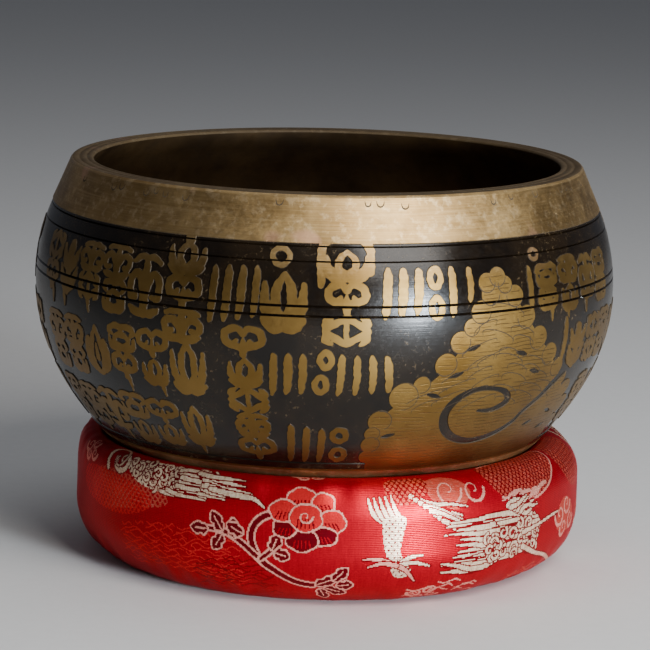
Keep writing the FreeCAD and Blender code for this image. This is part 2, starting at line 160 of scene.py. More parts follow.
class Canvas:
    """A distance field over a strip that closes on itself in x: below 0 inside what is drawn, above it outside."""

    def __init__(self, width, low, high, step, cells=False):
        self.width, self.low = width, low
        self.nx, self.ny = int(round(width / step)), int(round((high - low) / step))
        self.dx, self.dy = width / self.nx, (high - low) / self.ny
        shift = 0.5 if cells else 0.0
        extra = 0 if cells else 1
        self.x = -width / 2 + self.dx * (np.arange(self.nx + extra) + shift)
        self.y = low + self.dy * (np.arange(self.ny + extra) + shift)
        self.clear()

    def clear(self):
        self.d = np.full((len(self.y), len(self.x)), 9.0)

    def windows(self, low, high, margin=0.6):
        for shift in (-self.width, 0, self.width):
            i0, i1 = np.searchsorted(self.x, [low[0] + shift - margin, high[0] + shift + margin])
            j0, j1 = np.searchsorted(self.y, [low[1] - margin, high[1] + margin])
            if i1 > i0 and j1 > j0:
                yield self.d[j0:j1, i0:i1], self.x[i0:i1][None] - shift, self.y[j0:j1][:, None]

    def stroke(self, points, width=None, closed=False, cut=False, step=0.7):
        """A brush stroke through (x, y) or (x, y, width) points, its width running smoothly."""
        p = np.asarray(points, float)
        if p.shape[1] == 2:
            p = np.column_stack([p, np.full(len(p), width)])
        p = smooth_path(p, closed, step)
        if closed:
            p = np.vstack([p, p[:1]])
        for a, b in zip(p[:-1], p[1:]):
            r = np.maximum(a[2], b[2]) / 2
            for field, x, y in self.windows(np.minimum(a, b)[:2] - r, np.maximum(a, b)[:2] + r):
                vx, vy = b[0] - a[0], b[1] - a[1]
                t = np.clip(((x - a[0]) * vx + (y - a[1]) * vy) / max(vx * vx + vy * vy, 1e-9), 0, 1)
                away = np.hypot(x - a[0] - t * vx, y - a[1] - t * vy) - (a[2] + (b[2] - a[2]) * t) / 2
                if cut:
                    np.maximum(field, -away, out=field)
                else:
                    np.minimum(field, away, out=field)

    def dot(self, x, y, radius):
        self.stroke([(x, y, 2 * radius), (x + 0.01, y, 2 * radius)])

    def area(self, points, rounded=True, grow=0.0):
        """A filled shape inside a closed outline."""
        p = smooth_path(points, closed=True, step=1.0) if rounded else np.asarray(points, float)
        q = np.roll(p, -1, 0)
        for field, x, y in self.windows(p.min(0) - grow, p.max(0) + grow):
            away = np.full(np.broadcast_shapes(x.shape, y.shape), 1e9)
            inside = np.zeros(away.shape, bool)
            for (ax, ay), (bx, by) in zip(p, q):
                vx, vy = bx - ax, by - ay
                t = np.clip(((x - ax) * vx + (y - ay) * vy) / max(vx * vx + vy * vy, 1e-9), 0, 1)
                away = np.minimum(away, (x - ax - t * vx) ** 2 + (y - ay - t * vy) ** 2)
                if ay != by:
                    inside ^= ((ay > y) != (by > y)) & (x < vx * (y - ay) / vy + ax)
            np.minimum(field, np.where(inside, -1, 1) * np.sqrt(away) - grow, out=field)

    def value(self, x, y):
        """The field between its nodes."""
        i = np.clip((x - self.x[0]) / self.dx, 0, len(self.x) - 1.001)
        j = np.clip((y - self.y[0]) / self.dy, 0, len(self.y) - 1.001)
        i0, j0 = i.astype(int), j.astype(int)
        fi, fj = i - i0, j - j0
        d = np.clip(self.d, -2, 2)
        top = d[j0, i0] * (1 - fi) + d[j0, i0 + 1] * fi
        low = d[j0 + 1, i0] * (1 - fi) + d[j0 + 1, i0 + 1] * fi
        return top * (1 - fj) + low * fj

    def contours(self, level):
        """The field's level lines by marching squares, as simplified polylines: (points, closed)."""
        d = np.clip(self.d, -2, 2) - level
        inside, (ny, nx), total, where = d < 0, d.shape, d.size, {}
        for right, down in ((1, 0), (0, 1)):
            jj, ii = np.nonzero(inside[: ny - down, : nx - right] != inside[down:, right:])
            t = d[jj, ii] / (d[jj, ii] - d[jj + down, ii + right])
            x, y = self.x[ii] + right * t * self.dx, self.y[jj] + down * t * self.dy
            where.update(zip((total * down + jj * nx + ii).tolist(), zip(x.tolist(), y.tolist())))
        a, b, c, e = inside[:-1, :-1], inside[:-1, 1:], inside[1:, 1:], inside[1:, :-1]
        case = a + 2 * b + 4 * c + 8 * e
        joins = {
            1: "LT", 2: "TR", 3: "LR", 4: "RB", 5: "LTRB", 6: "TB", 7: "LB",
            8: "BL", 9: "TB", 10: "TRBL", 11: "RB", 12: "LR", 13: "TR", 14: "LT",
        }
        near = {}
        for number, pairs in joins.items():
            jj, ii = np.nonzero(case == number)
            edge = {
                "T": jj * nx + ii, "B": (jj + 1) * nx + ii,
                "L": total + jj * nx + ii, "R": total + jj * nx + ii + 1,
            }
            for k in range(0, len(pairs), 2):
                for p, q in zip(edge[pairs[k]].tolist(), edge[pairs[k + 1]].tolist()):
                    near.setdefault(p, []).append(q)
                    near.setdefault(q, []).append(p)
        lines, seen = [], set()
        for start in [k for k, v in near.items() if len(v) == 1] + list(near):
            if start in seen:
                continue
            chain, here = [start], start
            seen.add(start)
            while True:
                ahead = [k for k in near[here] if k not in seen]
                if not ahead:
                    break
                here = ahead[0]
                seen.add(here)
                chain.append(here)
            closed = len(near[start]) == 2
            points = np.array([where[k] for k in chain])
            if len(points) > 6:
                lines.append((simplify(points, closed), closed))
        return lines


def simplify(points, closed, tolerance=0.035, longest=2.2):
    """Douglas and Peucker's thinning of a polyline."""
    if closed:
        points = np.vstack([points, points[:1]])
        far = int(np.argmax(np.hypot(*(points - points[0]).T)))
        spans = [(0, far), (far, len(points) - 1)]
    else:
        spans = [(0, len(points) - 1)]
    keep = {0, len(points) - 1} | {end for span in spans for end in span}
    while spans:
        i, j = spans.pop()
        if j - i < 2:
            continue
        a, b = points[i], points[j]
        v = b - a
        length = max(np.hypot(*v), 1e-9)
        off = np.abs((points[i + 1 : j, 0] - a[0]) * v[1] - (points[i + 1 : j, 1] - a[1]) * v[0]) / length
        k = int(np.argmax(off))
        if off[k] > tolerance or length > longest:
            k = k if off[k] > tolerance else (j - i) // 2 - 1
            keep.add(i + 1 + k)
            spans += [(i, i + 1 + k), (i + 1 + k, j)]
    kept = points[sorted(keep)]
    return kept[:-1] if closed else kept


# ---- the bowl's ornament

RELIEF_STEP, SHAKE = 0.12, 0.13
relief, scratch, puff = (Canvas(2 * math.pi * BELLY_R, SKIN_TOP, SKIN_END, RELIEF_STEP) for _ in range(3))


def laid(points, per_degree=PER_DEGREE):
    """(phi, s, ...) to (x, s, ...) on a strip, by default the bowl's."""
    return [(p[0] * per_degree, *p[1:]) for p in points]


BAR = ((0.0, -0.3, 0.35), (0.07, -0.1, 0.8), (0.22, 0.0, 1.0), (0.6, 0.12, 1.0), (0.9, -0.05, 0.85), (1.0, -0.2, 0.5))


def bar(phi, top, bottom, width=2.2, lean=0.0):
    """An upright bar with a pointed head and a blunt foot, as cut by hand."""
    x, tall = phi * PER_DEGREE, bottom - top
    w = width * (1 + 0.08 * math.sin(1.7 * phi + top))
    relief.stroke([(x + lean * (0.5 - t) * 2 + bend, top + t * tall, w * k) for t, bend, k in BAR])


def bead(phi, top, bottom, width=1.9, wide=5.2):
    """A small ring with an eye-shaped hole."""
    x, y = phi * PER_DEGREE, (top + bottom) / 2
    rx, ry = wide / 2 - width / 2, (bottom - top) / 2 - width / 2
    turn = np.radians(np.arange(0, 360, 30))
    relief.stroke([(x + rx * math.cos(a), y + ry * math.sin(a), width) for a in turn], closed=True)


# The figures: one half of each, as brush strokes through (x, y, weight) in a box from -1 to 1, drawn with its mirror
# image.
FIGURES = {
    "ruyi": [
        [(0, -0.5, 0.9), (0.32, -0.92, 1), (0.88, -0.66, 1.1), (0.94, 0.0, 1.1), (0.56, 0.26, 1), (0.34, -0.05, 0.7)],
        [(0, 0.95, 1), (0.1, 0.45, 1.1), (0.6, 0.3, 1)],
        [(0, -0.2, 0.5), (0, 0.45, 1.3)],
    ],
    "lotus": [
        [(0, -0.95, 0.6), (0.36, -0.4, 1), (0.34, 0.3, 1), (0, 0.72, 1)],
        [(0.35, 0.78, 1), (0.82, 0.3, 1.2), (0.94, -0.6, 0.6)],
        [(0, 0.9, 1.1), (0.5, 0.94, 1.2), (0.95, 0.66, 0.7)],
    ],
    "gem": [
        [(0, -0.36, 1), (0.46, -0.08, 1), (0.46, 0.42, 1), (0, 0.66, 1)],
        [(0, -0.96, 0.5), (0, -0.36, 1.4)],
        [(0.06, -0.9, 1), (0.62, -0.92, 1.1), (0.94, -0.56, 1), (0.7, -0.3, 0.7)],
        [(0.1, 0.85, 1), (0.78, 0.68, 1.2), (0.96, -0.05, 0.6)],
    ],
    "volutes": [
        [(0, 0.9, 1.2), (0.12, 0.1, 1.2), (0.5, -0.4, 1.1), (0.94, -0.2, 1.1), (0.9, 0.36, 1), (0.52, 0.34, 0.8)],
        [(0, -0.92, 0.9), (0.42, -0.96, 1), (0.9, -0.78, 0.7)],
        [(0, -0.92, 0.8), (0, -0.3, 1.5)],
        [(0.1, 0.88, 1), (0.6, 0.84, 1.2), (0.96, 0.7, 0.6)],
    ],
    "sprig": [
        [(0, -0.98, 0.5), (0, -0.6, 1.7), (0, 0.95, 1)],
        [(0, 0.1, 0.8), (0.5, -0.15, 1.5), (0.96, -0.78, 0.5)],
        [(0, 0.9, 0.8), (0.55, 0.58, 1.5), (0.98, -0.02, 0.5)],
    ],
    "lozenge": [
        [(0, -0.92, 1), (0.5, -0.5, 1), (0.94, 0, 1), (0.5, 0.5, 1), (0, 0.92, 1)],
        [(0, -0.55, 0.8), (0, 0.5, 0.8)],
        [(0.62, -0.95, 0.5), (0.9, -0.62, 1.1), (0.98, -0.2, 0.5)],
        [(0.62, 0.95, 0.5), (0.9, 0.62, 1.1), (0.98, 0.2, 0.5)],
    ],
    "plume": [
        [(0, -0.98, 0.4), (0.34, -0.45, 1), (0.58, 0.15, 1.1), (0.36, 0.74, 1), (0, 0.92, 0.9)],
        [(0, -0.25, 0.6), (0, 0.3, 1)],
        [(0.5, 0.8, 0.8), (0.92, 0.5, 1), (0.96, -0.1, 1), (0.74, -0.42, 0.9), (0.58, -0.2, 0.5)],
    ],
    "flame": [
        [(0, -0.98, 0.5), (0.26, -0.5, 1), (0.6, 0.05, 1.1), (0.52, 0.66, 1.1), (0, 0.92, 1)],
        [(0, -0.02, 0.5), (0, 0.42, 1.2)],
        [(0.5, 0.9, 0.8), (0.95, 0.45, 1.1), (0.9, -0.35, 0.5)],
    ],
}
SQUAT = ("ruyi", "lozenge", "lotus", "volutes", "gem")
TALL = ("lotus", "flame", "volutes", "sprig", "plume")


def figure(name, phi, top, bottom, wide, weight):
    """One figure between two heights, wide millimetres across."""
    x, y = phi * PER_DEGREE, (top + bottom) / 2
    rx, ry = (wide - weight) / 2, (bottom - top - weight) / 2
    for path in FIGURES[name]:
        for side in (1, -1):
            relief.stroke([(x + side * rx * a, y + ry * b, weight * w) for a, b, w in path])


def stack(phi, top, bottom, wide, names, weight, drift=0.0):
    """Squat figures one above another that run into each other."""
    tall = (bottom - top) / len(names)
    for k, name in enumerate(names):
        y = top + k * tall
        figure(name, phi + drift * k, y - 0.5, y + tall + 0.7, wide * (1.0 - 0.12 * (k % 2)), weight)


def row(start, end, top, bottom, count, seed):
    """Figures side by side, some tall and some in two tiers, uneven in height, with a drop hanging from some."""
    local = np.random.default_rng(seed)
    pitch = (end - start) / count
    squat, tall = local.permutation(SQUAT * 4), local.permutation(TALL * 4)
    for k in range(count):
        phi = start + (k + 0.5) * pitch
        high, low = top + local.uniform(0, 1.4), bottom - local.uniform(0.0, 3.2)
        wide = pitch * PER_DEGREE * local.uniform(1.0, 1.12)
        if k % 3 == seed % 3:
            figure(tall[k], phi, high, low, wide, 2.3)
        else:
            stack(phi, high, low, wide, squat[2 * k : 2 * k + 2], 2.0)
        if bottom - low > 1.6:
            x = phi * PER_DEGREE + local.uniform(-2.5, 2.5)
            relief.stroke([(x, low - 2.5, 1.6), (x + 0.5, low, 1.9), (x + 0.8, bottom + 0.6, 0.7)])


CLOUD_LOBES = (
    (31.9, 25.3, 2.9), (34.4, 23.9, 2.9), (36.0, 26.2, 2.6), (32.6, 28.6, 3.2), (38.2, 29.6, 3.2), (30.4, 33.2, 3.4),
    (41.0, 35.8, 3.5), (28.4, 37.2, 2.6), (26.2, 41.2, 3.3), (44.6, 42.3, 3.6), (23.6, 47.4, 3.5), (48.6, 47.7, 3.4),
    (19.2, 53.0, 2.7), (15.9, 56.6, 4.5), (52.2, 52.4, 3.0), (11.8, 64.6, 3.8), (10.6, 69.2, 2.6), (10.6, 73.4, 3.2),
    (10.4, 78.4, 2.9), (55.4, 56.6, 2.8), (59.0, 61.0, 3.2), (61.6, 67.0, 3.4), (62.4, 73.8, 3.2), (62.6, 79.5, 3.0),
)
CLOUD_BODY = (
    (34, 23.5), (38, 29), (41, 35), (44.5, 41.5), (48.5, 47), (54.5, 55.5), (61, 65), (62, SKIN_END + 4),
    (10, SKIN_END + 4), (11, 64.5), (15.5, 57.5), (19.5, 54), (24, 48), (27, 41), (30, 33),
)
CLOUD_SPIRAL = (
    (33, 63.0, 0.6), (36.6, 63.2, 1.5), (39.8, 60.8, 2.2), (38.6, 57.6, 1.6), (35, 55.9, 1.1), (30.8, 55.8, 1.5),
    (27.2, 58.4, 2.2), (25.4, 62.8, 2.6), (26.2, 68, 2.7), (29.2, 72.2, 2.4), (34.2, 74.4, 2.1), (40, 73, 1.9),
    (44.4, 69.4, 1.7), (46.4, 65.6, 1.5), (50.2, 61.2, 1.9), (52.6, 57.8, 2.3), (56.0, 54.2, 2.6),
)
CLOUD_CHIPS = (
    (29, 43, 1), (22, 56.6, -1), (26, 50.6, 1), (40.6, 46, -1), (45.2, 52.2, -1), (50.5, 71, 1), (56.5, 68, -1),
    (57.5, 74, 1), (14, 70, 1),
)
SCALLOP = ((2.6, 0.1), (3.4, 0.24), (4.2, 0.26), (5.0, 0.24), (5.8, 0.22), (6.6, 0.12))


def cloud():
    """The large scalloped cloud with a spiral cut in it, which runs down into the plain foot of the bowl."""
    puff.area(laid(CLOUD_BODY), rounded=False)
    for x, y, r in laid(CLOUD_LOBES):
        puff.dot(x, y, r)
    np.minimum(relief.d, puff.d, out=relief.d)
    for k, (phi, y, r) in enumerate(CLOUD_LOBES[:-6]):
        x = phi * PER_DEGREE
        inward = math.atan2(60 - y, 33 - phi)
        turns = [inward + t for t in np.linspace(-1.5, 1.2 + 0.3 * (k % 3), 9)]
        scratch.stroke([(x + r * 0.93 * math.cos(a), y + r * 0.93 * math.sin(a), 0.26) for a in turns])
    local = np.random.default_rng(6)
    for s in np.arange(34, 62, 2.9):
        for phi in np.arange(13, 56, 6.4):
            phi_at, y = phi + local.uniform(-2.2, 2.2), s + local.uniform(-0.9, 0.9)
            long, tall = local.uniform(3.6, 6.2), local.uniform(1.2, 1.9)
            x = phi_at * PER_DEGREE
            tilt = 0.34 if phi_at > 34 else -0.34
            path = []
            for a, w in SCALLOP:
                across, down = long * math.cos(a), tall * math.sin(a)
                path.append((x + across - 0.4 * down, y + down + tilt * across, w))
            if puff.value(*np.array(path)[:, :2].T).max() < -1.0:
                scratch.stroke(path, step=1.0)
    relief.stroke(laid(CLOUD_SPIRAL), cut=True)
    for x, y, tilt in laid(CLOUD_CHIPS):
        relief.stroke([(x - 1.9, y + 0.5 * tilt, 0.4), (x, y, 1.25), (x + 1.9, y - 0.6 * tilt, 0.3)], cut=True)


def front_ornament():
    """The front: two stacks, a lotus, sets of bars and rings, and rows of figures right of the cloud."""
    stack(-27, 14.6, 43.0, 13.6, ["lotus", "ruyi", "volutes"], 2.3)
    relief.stroke(laid([(-27, 11, 4.5), (-27, 15.5, 3.0)]))
    bead(-8.3, 14.0, 20.6, 1.8, 6.6)
    figure("lotus", -7.4, 20.2, 38.6, 14.6, 3.0)
    for side, low in ((-1, 24.5), (1, 21.5)):
        outer = 4.0 + side * 4.6
        relief.stroke(laid([(4.0 + side * 3.0, 11.5, 3.4), (outer, 15.0, 2.8), (outer, low, 2.4)]))
    stack(4.2, 14.8, 41.5, 14.6, ["lotus", "ruyi", "lozenge"], 2.3)
    for k in range(4):
        bar(-21.0 + 2.75 * k, 21.0 - 0.2 * k, 36.2 - 0.7 * k, 2.5, 0.4)
    for k in range(3):
        bar(11.7 + 3.0 * k, 20.4, 33.4 - 0.5 * k, 2.7, 0.4)
    bead(21.0, 19.6, 26.6, 2.1)
    bead(21.2, 27.6, 34.8, 2.1)
    bar(24.5, 20.4, 33.6, 2.7)
    bar(28.2, 20.6, 30.0, 2.3)

    stack(-14.8, 36.6, 80.6, 13.2, ["ruyi", "lotus", "lozenge", "volutes", "ruyi"], 2.2, 0.25)
    for k in range(3):
        bar(-9.2 + 2.75 * k, 44.0, 56.0 - 0.4 * k, 2.5, 0.3)
    bead(0.6, 42.2, 48.6, 2.1)
    bead(-0.3, 49.4, 56.0, 2.1)
    for k in range(4):
        bar(3.4 + 3.0 * k, 43.8 + 0.2 * k, 55.6 - 0.3 * k, 2.5, 0.4 - 0.3 * k)

    for k in range(3):
        bar(-6.4 + 3.2 * k, 66.2 + 0.7 * k, 80.4, 2.8, 0.5)
    bead(3.8, 66.6, 73.2, 2.2, 6.4)
    bead(3.8, 74.2, 80.8, 2.2, 6.4)

    bar(42.4, 22.0, 36.0, 2.2)
    bead(44.4, 16.6, 21.0, 1.4, 4.6)
    row(43.6, 72.0, 20.6, 37.4, 4, 5)
    bar(53.2, 38.0, 51.0, 2.2)
    row(54.6, 89.0, 38.6, 55.0, 5, 6)
    row(65.0, 92.0, 57.2, 78.0, 4, 7)


def side_ornament(shift, seed):
    """Three rows of mixed figures beside a cloud or a stack."""
    for top, bottom, start, end, count in ((18.4, 38.6, 0, 38, 5), (40.2, 59.8, 2, 47.5, 6), (61.2, 80.0, 0, 47.0, 6)):
        row(shift + start, shift + end, top, bottom, count, seed + int(top))


def back_ornament():
    """The back: rows of figures between four stacks."""
    for number, start in enumerate((-121, -169, 98)):
        side_ornament(start, 20 + number)
    orders = (SQUAT, SQUAT[::-1], SQUAT[2:] + SQUAT[:2], SQUAT[1:] + SQUAT[:1])
    for phi, names in zip((-123.5, 94.5, -173.0, 149.5), orders):
        stack(phi, 15, 79.5, 10.5, names, 2.2)
    for number, (top, bottom) in enumerate(((19.0, 38.6), (40.4, 59.6), (61.4, 79.8))):
        row(155, 177, top, bottom, 3, 40 + number)


def draw_bowl():
    """The whole relief, its edges a little shaky as cut by hand, between the plain band and the plain foot."""
    front_ornament()
    side_ornament(-69.8, 4)
    back_ornament()
    x, y = relief.x[None], relief.y[:, None]
    shaky = np.sin(1.7 * x + 1.4 * np.sin(0.6 * y)) * np.sin(1.3 * y + 1.1 * np.sin(0.5 * x))
    shaky = shaky + 0.6 * np.sin(3.1 * y - 0.4 * x)
    relief.d = np.minimum(np.minimum(relief.d + SHAKE * shaky, y - BAND_S), ETCH_END - y)
    cloud()
    crescents = np.random.default_rng(12)
    for phi in np.arange(-176, 176, 2.6):
        if crescents.random() < 0.25 + 0.25 * math.sin(math.radians(phi * 7 + 60)):
            x, y = phi * PER_DEGREE, crescents.uniform(1.9, 2.9)
            r = crescents.uniform(0.9, 1.3)
            left, right = (x - r * 0.75, y + r * 0.7, 0.42), (x + r * 0.75, y + r * 0.6, 0.36)
            scratch.stroke([(x - r, y - 0.5, 0.15), left, (x, y + r, 0.46), right, (x + r, y - 0.4, 0.15)])


# ---- meshes


def new_object(name, verts, faces, smooth=True, mats=()):
    mesh = bpy.data.meshes.new(name)
    mesh.from_pydata(np.asarray(verts) * MM, [], faces if isinstance(faces, list) else faces.tolist())
    mesh.validate()
    for mat in mats:
        mesh.materials.append(mat)
    mesh.shade_smooth() if smooth else mesh.shade_flat()
    obj = bpy.data.objects.new(name, mesh)
    bpy.context.scene.collection.objects.link(obj)
    return obj


def ring_quads(rows, sectors):
    """The quads between rows of vertices that close on themselves."""
    i = np.arange(rows - 1)[:, None] * sectors
    j, k = np.arange(sectors)[None], (np.arange(sectors)[None] + 1) % sectors
    return np.stack([i + j, i + sectors + j, i + sectors + k, i + k], -1).reshape(-1, 4)


def turned(points, sectors):
    """Rings of vertices for a section (r, z), and the quads between them."""
    phi = np.linspace(-math.pi, math.pi, sectors, endpoint=False)
    r, z = np.asarray(points)[:, :1], np.asarray(points)[:, 1:]
    verts = np.stack([r * np.sin(phi), -r * np.cos(phi), z + 0 * phi], -1).reshape(-1, 3)
    return verts, ring_quads(len(points), sectors)


class Sheet:
    """The points and edges of a flat strip, to be triangulated."""

    def __init__(self, half, low, high):
        self.half, self.low, self.high = half, low, high
        self.across = np.linspace(-half, half, SECTORS + 1)
        self.points, self.edges = [], []

    def chain(self, line, closed=False):
        start, count = len(self.points), len(line)
        self.points.extend(line)
        self.edges.extend((start + k, start + k + 1) for k in range(count - 1))
        if closed:
            self.edges.append((start + count - 1, start))

    def level(self, s):
        self.chain([(x, s) for x in self.across])

    def sides(self, step):
        for x in (-self.half, self.half):
            self.chain([(x, s) for s in np.append(np.arange(self.low, self.high, step), self.high)])

    def fill(self, first, margin, step, shift):
        """Loose points in staggered rows."""
        for k, y in enumerate(np.arange(self.low + first, self.high - margin, step)):
            gap = self.across[1] - self.across[0]
            self.points.extend((x, y) for x in self.across[:-1] + gap * (0.5 if k % 2 else shift))

    def triangulate(self):
        """The constrained triangulation, without the slivers outside the strip."""
        verts, _, faces, *_ = delaunay_2d_cdt([Vector(p) for p in self.points], self.edges, [], 0, 1e-4)
        verts, faces = np.array([tuple(p) for p in verts], float), np.array([face for face in faces if len(face) == 3])
        y = verts[faces, 1]
        inside = (y.min(1) > self.low - NEAR) & (y.max(1) < self.high + NEAR)
        return verts, faces[inside & (np.ptp(y, axis=1) > 1e-4)]


def close_strip(v, f, solid, outward):
    """Joins the strip's two ends, and turns every triangle to face outward."""
    half = -v[:, 0].min()
    left = np.nonzero(np.abs(v[:, 0] + half) < NEAR)[0]
    right = np.nonzero(np.abs(v[:, 0] - half) < NEAR)[0]
    merge = np.arange(len(v))
    for k in right:
        merge[k] = left[np.argmin(np.abs(v[left, 1] - v[k, 1]))]
    f = merge[f]
    sound = (f[:, 0] != f[:, 1]) & (f[:, 1] != f[:, 2]) & (f[:, 0] != f[:, 2])
    f = f[sound]
    a, b, c = (solid[f[:, k]] for k in range(3))
    normal = np.cross(b - a, c - a)
    flip = (normal * outward[f[:, 0]]).sum(1) < 0
    f[flip] = f[flip][:, ::-1]
    normal[flip] *= -1
    return f, normal / np.maximum(np.linalg.norm(normal, axis=1, keepdims=True), 1e-12), sound


def sew(strip, s, f, blocks, reach=0.05):
    """Welds blocks of turned rows to the strip at the height s of one of their rows, and drops unused vertices. A
    block is its vertices, its quads, which row meets the strip (0 or -1) and the height of that row."""
    live = np.isin(np.arange(len(strip)), f)
    start, remap, faces = len(strip), np.arange(len(strip) + sum(len(block[0]) for block in blocks)), [f]
    for verts, quads, edge, height in blocks:
        near = np.nonzero(live & (np.abs(s - height) < NEAR))[0]
        first = len(verts) - SECTORS if edge else 0
        for k in range(first, first + SECTORS):
            gap = np.linalg.norm(strip[near] - verts[k], axis=1)
            best = int(np.argmin(gap))
            if gap[best] < reach:
                remap[start + k] = int(near[best])
        faces.append(remap[quads + start])
        start += len(verts)
    verts = np.vstack([strip] + [block[0] for block in blocks])
    used = np.unique(np.concatenate([np.ravel(f) for f in faces]))
    number = -np.ones(len(verts), int)
    number[used] = np.arange(len(used))
    return verts[used], [tuple(face) for f in faces for face in number[f].tolist()], used


def store(mesh, name, kind, domain, values):
    """A named attribute of a mesh."""
    key = {"FLOAT": "value", "FLOAT_VECTOR": "vector", "FLOAT_COLOR": "color"}[kind]
    mesh.attributes.new(name, kind, domain).data.foreach_set(key, values.astype(np.float32).ravel())


def etched_skin():
    """The bowl's outside as one triangulated sheet: band, relief, etched ground, grooves and scratches."""
    half = relief.width / 2
    sheet = Sheet(half, SKIN_TOP, SKIN_END)
    for s in [SKIN_TOP, SKIN_END] + sorted({c + k * h for c, h in GROOVES for k in (-1, 0, 1)}):
        sheet.level(s)
    for canvas, level in ((relief, 0.0), (relief, -WALL_RUN), (scratch, 0.0)):
        for line, closed in canvas.contours(level):
            if not closed:  # an edge that runs all the way round, along the band or the foot
                top = line[:, 1].mean() < 40
                s = (BAND_S if top else ETCH_END) + (-WALL_RUN if top else WALL_RUN) * (level != 0)
                line = line if line[0, 0] < line[-1, 0] else line[::-1].copy()
                line[0], line[-1] = (-half, s), (half, s)
            sheet.chain(line.tolist(), closed)
    sheet.sides(2.2)
    sheet.fill(1.0, 0.5, 1.9, 0.25)
    return sheet.triangulate()


def bowl_rows():
    """The turned sections above the etched skin (rim and inside) and below it (foot and base), and how many rows the
    rim has."""
    rounding, foot_rounding, floor_rounding = 0.8, 2.0, 14.0
    floor_z = BASE_Z + FLOOR_T
    out_c, in_c = (RIM_OUT[0] - 0.62, RIM_Z - rounding), (RIM_IN[0] + rounding, RIM_Z - rounding)
    inner_b, inner_l = BELLY_ARC - THICKNESS, LOWER_ARC - THICKNESS
    lean = angle(BELLY, RIM_IN) - math.degrees(math.acos(inner_b / math.dist(BELLY, RIM_IN)))
    floor_c = floor_z + floor_rounding
    floor_c = (LOWER[0] + math.sqrt((inner_l - floor_rounding) ** 2 - (floor_c - LOWER[1]) ** 2), floor_c)
    rim = arc(out_c, rounding, 22, 90, 0.25)
    top = [(r + k, RIM_Z - 0.2 * (k == 0)) for r in (72.3, 70.1) for k in (0.2, 0, -0.2)]
    lip = arc(in_c, rounding, 90, 180, 0.25)
    belly = arc(BELLY, inner_b, lean, TURN, 1.6)
    lower = arc(LOWER, inner_l, TURN, angle(LOWER, floor_c), 1.8)
    corner = arc(floor_c, floor_rounding, angle(LOWER, floor_c), -90, 1.2)
    floor = [(r, floor_z) for r in (30, 20, 10, 0.02)]
    above = np.vstack([[WALL.at(SKIN_TOP)], rim, top, lip, belly, lower, corner, floor])

    foot = np.stack(WALL.at(np.arange(SKIN_END, WALL.s[-1], 1.2)), 1)
    reach, turn = LOWER_ARC - foot_rounding, math.radians(angle(LOWER, BASE) + 1.35)
    foot_c = (LOWER[0] + reach * math.cos(turn), BASE_Z + foot_rounding)
    edge = arc(foot_c, foot_rounding, angle(LOWER, foot_c), -90, 0.5)
    below = np.vstack([foot, edge, [(r, BASE_Z) for r in (38, 28, 14, 0.02)]])
    return above, below, len(rim) + len(top) + len(lip)


